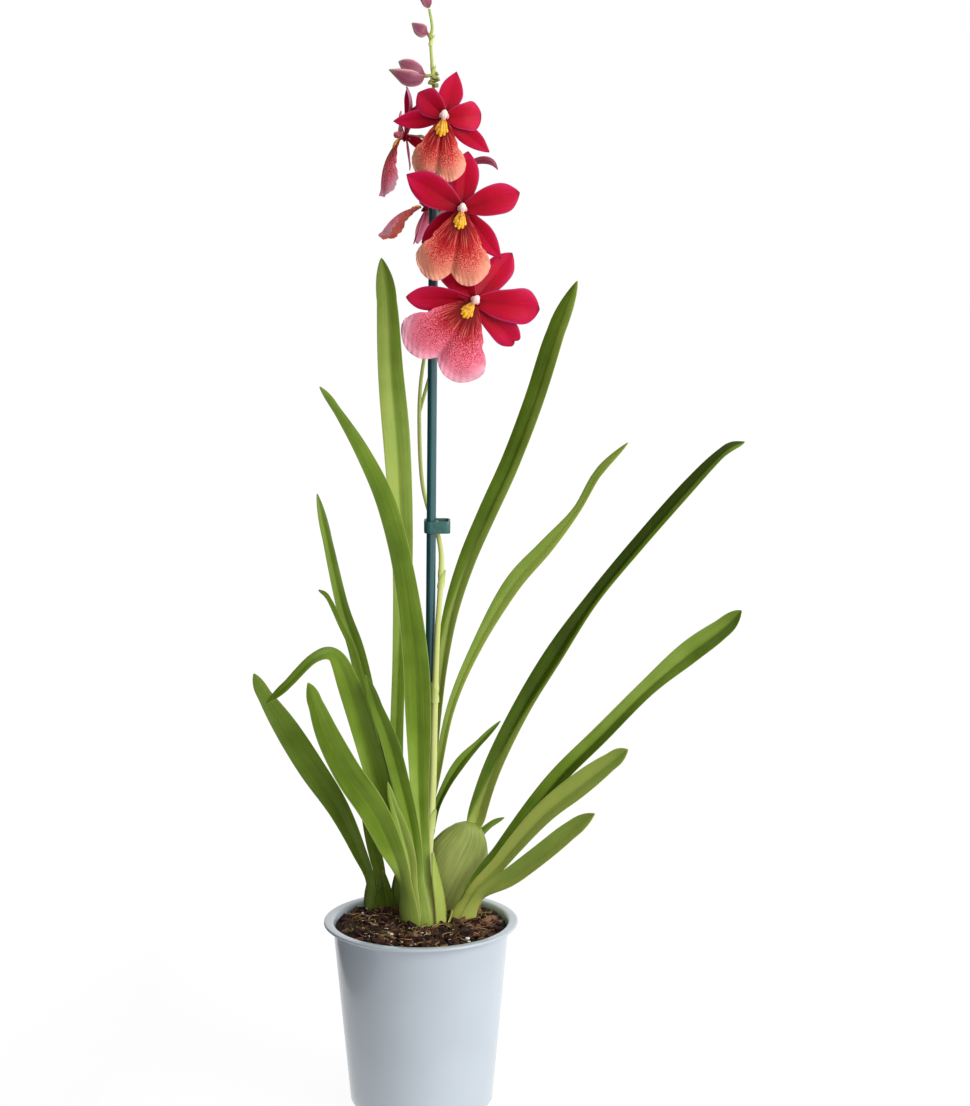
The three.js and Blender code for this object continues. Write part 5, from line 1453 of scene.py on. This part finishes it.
def blob(middle, size, tone, shaped=lambda *unit: unit):
    """A small rounded body. shaped bends its unit sphere before it is scaled and moved to its place."""
    bpy.ops.mesh.primitive_uv_sphere_add(segments=28, ring_count=18, radius=1)
    shape = bpy.context.object
    mark(shape, "tone", [tone + 0.18 * corner.co.y for corner in shape.data.vertices])
    for corner in shape.data.vertices:
        corner.co = (Vector(middle) + Vector(shaped(*corner.co)) * size) * MM
    return shape


def cap_form(x, y, z):
    """The anther cap: narrower on top, with a shallow groove and a beak below."""
    groove = 1 - 0.12 * exp(-((x / 0.18) ** 2)) * max(0, -y + 0.4)
    narrow = 1 - 0.16 * max(0, y) - 0.1 * max(0, -y)
    return x * groove * narrow, y * (1 + 0.22 * max(0, -y) ** 3), z * groove


def wings(around, t):
    """The column widens sideways near its end."""
    return 1 + 0.28 * cos(around) ** 2 * sin(pi * t) ** 2


for name, bloom in BLOOMS.items():
    length = bloom["lip"]["length"]
    share = 0.3 + 0.7 * bloom["column"]
    fingers = [crest_finger(length, bearing, far * share, thick * share) for bearing, far, thick in FINGERS]
    crest = joined("crest_" + name + "_fingers", fingers)
    crest.data.transform(flower_turn(bloom) @ lip_turn(bloom))
    dress(crest, "crest", "bloom_" + name + "_crest", materials=[crest_yellow])

    end = COLUMN_FOOT + (COLUMN_LENGTH - COLUMN_FOOT) * bloom["column"]
    fair = 2 * bloom["column"] - 1
    tone = FULL_TONE * fair
    rows = [(0, 1.4, 1.2, 1.9), (0, 1.3, 0.45 * end, 1.7), (0, 1.3, 0.8 * end, 1.9), (0, 1.3, end, 1.8)]
    pieces = [
        tube("post", rows, 20, 20, {"tone": lambda s, t: 0.85 * tone * t}, wings),
        blob((0, 1.4, end), CAP_SIZE * (0.6 + 0.4 * fair), tone, cap_form),
    ]
    pieces += [blob((x, 0.5, end - 1.4), Vector((0.8, 1.5, 0.7)), 0.5 * tone) for x in (-2.1, 2.1)]
    column = joined("column_" + name + "_capped", pieces)
    column.data.transform(flower_turn(bloom))
    dress(column, "column", "bloom_" + name + "_column", materials=[column_white])

# Buds
# Three closed buds above the flowers, the lowest one splitting: mauve sepals folded edge to edge, with a
# pale middle to each and a greenish tip. Stalks and lobes are rows of (x, y, z, radius).
BUDS = {
    "bud_opening": {
        "stalk": [(8.4, 22, 630, 0.8), (6.6, 21, 630.4, 1), (4.4, 20, 630.2, 1.2)],
        "lobes": [
            [
                (3.3, 19.7, 631, 1.2), (0, 19.2, 632.6, 4), (-5, 18.6, 635.4, 4.6), (-9, 17.6, 637.4, 3),
                (-11.5, 17, 638.6, 0.4),
            ],
            [
                (3.2, 19, 629.8, 1.2), (-0.4, 18.2, 628.8, 4.2), (-6, 16.6, 629.4, 5.2),
                (-11.5, 15, 631.6, 3.2), (-17, 13.6, 633.8, 0.4),
            ],
        ],
    },
    "bud_second": {
        "stalk": [(7.5, 22, 650, 0.7), (7, 21.8, 652.4, 0.9), (6.4, 21.6, 654, 1)],
        "lobes": [
            [
                (5.5, 21.3, 654.8, 1), (3.4, 21, 655.7, 3.6), (0.6, 20.2, 657.4, 3.9),
                (-1.8, 19.4, 659.4, 2.2), (-3.6, 19, 661, 0.35),
            ],
        ],
    },
    "bud_tip": {
        "stalk": [],
        "lobes": [
            [
                (6.3, 22, 669.8, 0.9), (5.4, 21.8, 672.2, 2.9), (3.8, 21.4, 677, 3.5), (2, 20.8, 682, 1.9),
                (0.8, 20.4, 685.6, 0.35),
            ],
        ],
    },
}


def bud_lobe(rows, number):
    """A pointed lobe of folded sepals, with a shallow seam between each two."""

    def seams(around, t):
        return 1 + 0.05 * cos(3 * around + number) - 0.05 * abs(sin(1.5 * around + 0.5 * number)) ** 8

    marks = {
        "tone": lambda s, t: t,
        "side": lambda s, t: abs(sin(1.5 * pi * s + 0.5 * number)),
        "across_mm": lambda s, t: 9 * s,
        "along_mm": lambda s, t: 16 * t,
    }
    return tube("lobe", rows, 36, 30, marks, seams)


# A bud's sepals are mauve and slightly downy, with veins about 0.6 mm apart.
bud_skin = surface(
    "bud_sepal_mauve", Roughness=0.5, Sheen_Weight=0.15, Subsurface_Weight=0.1,
    Subsurface_Radius=(0.002, 0.001, 0.001),
)
veins_at = drawn_out(bud_skin, "across_mm", 1.6, "along_mm", 0.1)
veins = add_node(bud_skin, "TexNoise", {"Vector": veins_at, "Scale": 1, "Detail": 2})
side = add_node(bud_skin, "Attribute", attribute_name="side")
level = add_node(bud_skin, "Math", {0: veins, 1: 0.5, 2: side}, operation="MULTIPLY_ADD")
BUD_STOPS = [(0.2, "#cda096"), (0.5, "#b06f7c"), (0.85, "#93455c"), (1, "#7c3049")]
shade = add_node(bud_skin, "ValToRGB", {0: level}, BUD_STOPS)
tone = add_node(bud_skin, "Attribute", attribute_name="tone")
tip = add_node(bud_skin, "MapRange", {"Value": tone, "From Min": 0.78, "From Max": 1, "To Max": 0.8})
add_node(bud_skin, "Mix", {0: tip, 6: shade, 7: colour("#7d8a5c")}, into="Base Color", data_type="RGBA")
add_node(bud_skin, "Bump", {"Height": veins, "Strength": 0.3, "Distance": 0.2 * MM}, into="Normal")
bud_stalks = []
for name, bud in BUDS.items():
    lobes = [bud_lobe(rows, number) for number, rows in enumerate(bud["lobes"])]
    dress(joined(name + "_sepals", lobes), "bud", name, materials=[bud_skin])
    if bud["stalk"]:
        rows = bud["stalk"] + bud["lobes"][0][:1]
        bud_stalks.append(tube("bud_stalk", rows, 12, 16, skin_marks(0.45, 0.85, 4, 8)))
dress(joined("bud_stalks", bud_stalks), "stem", materials=[stem_skin])
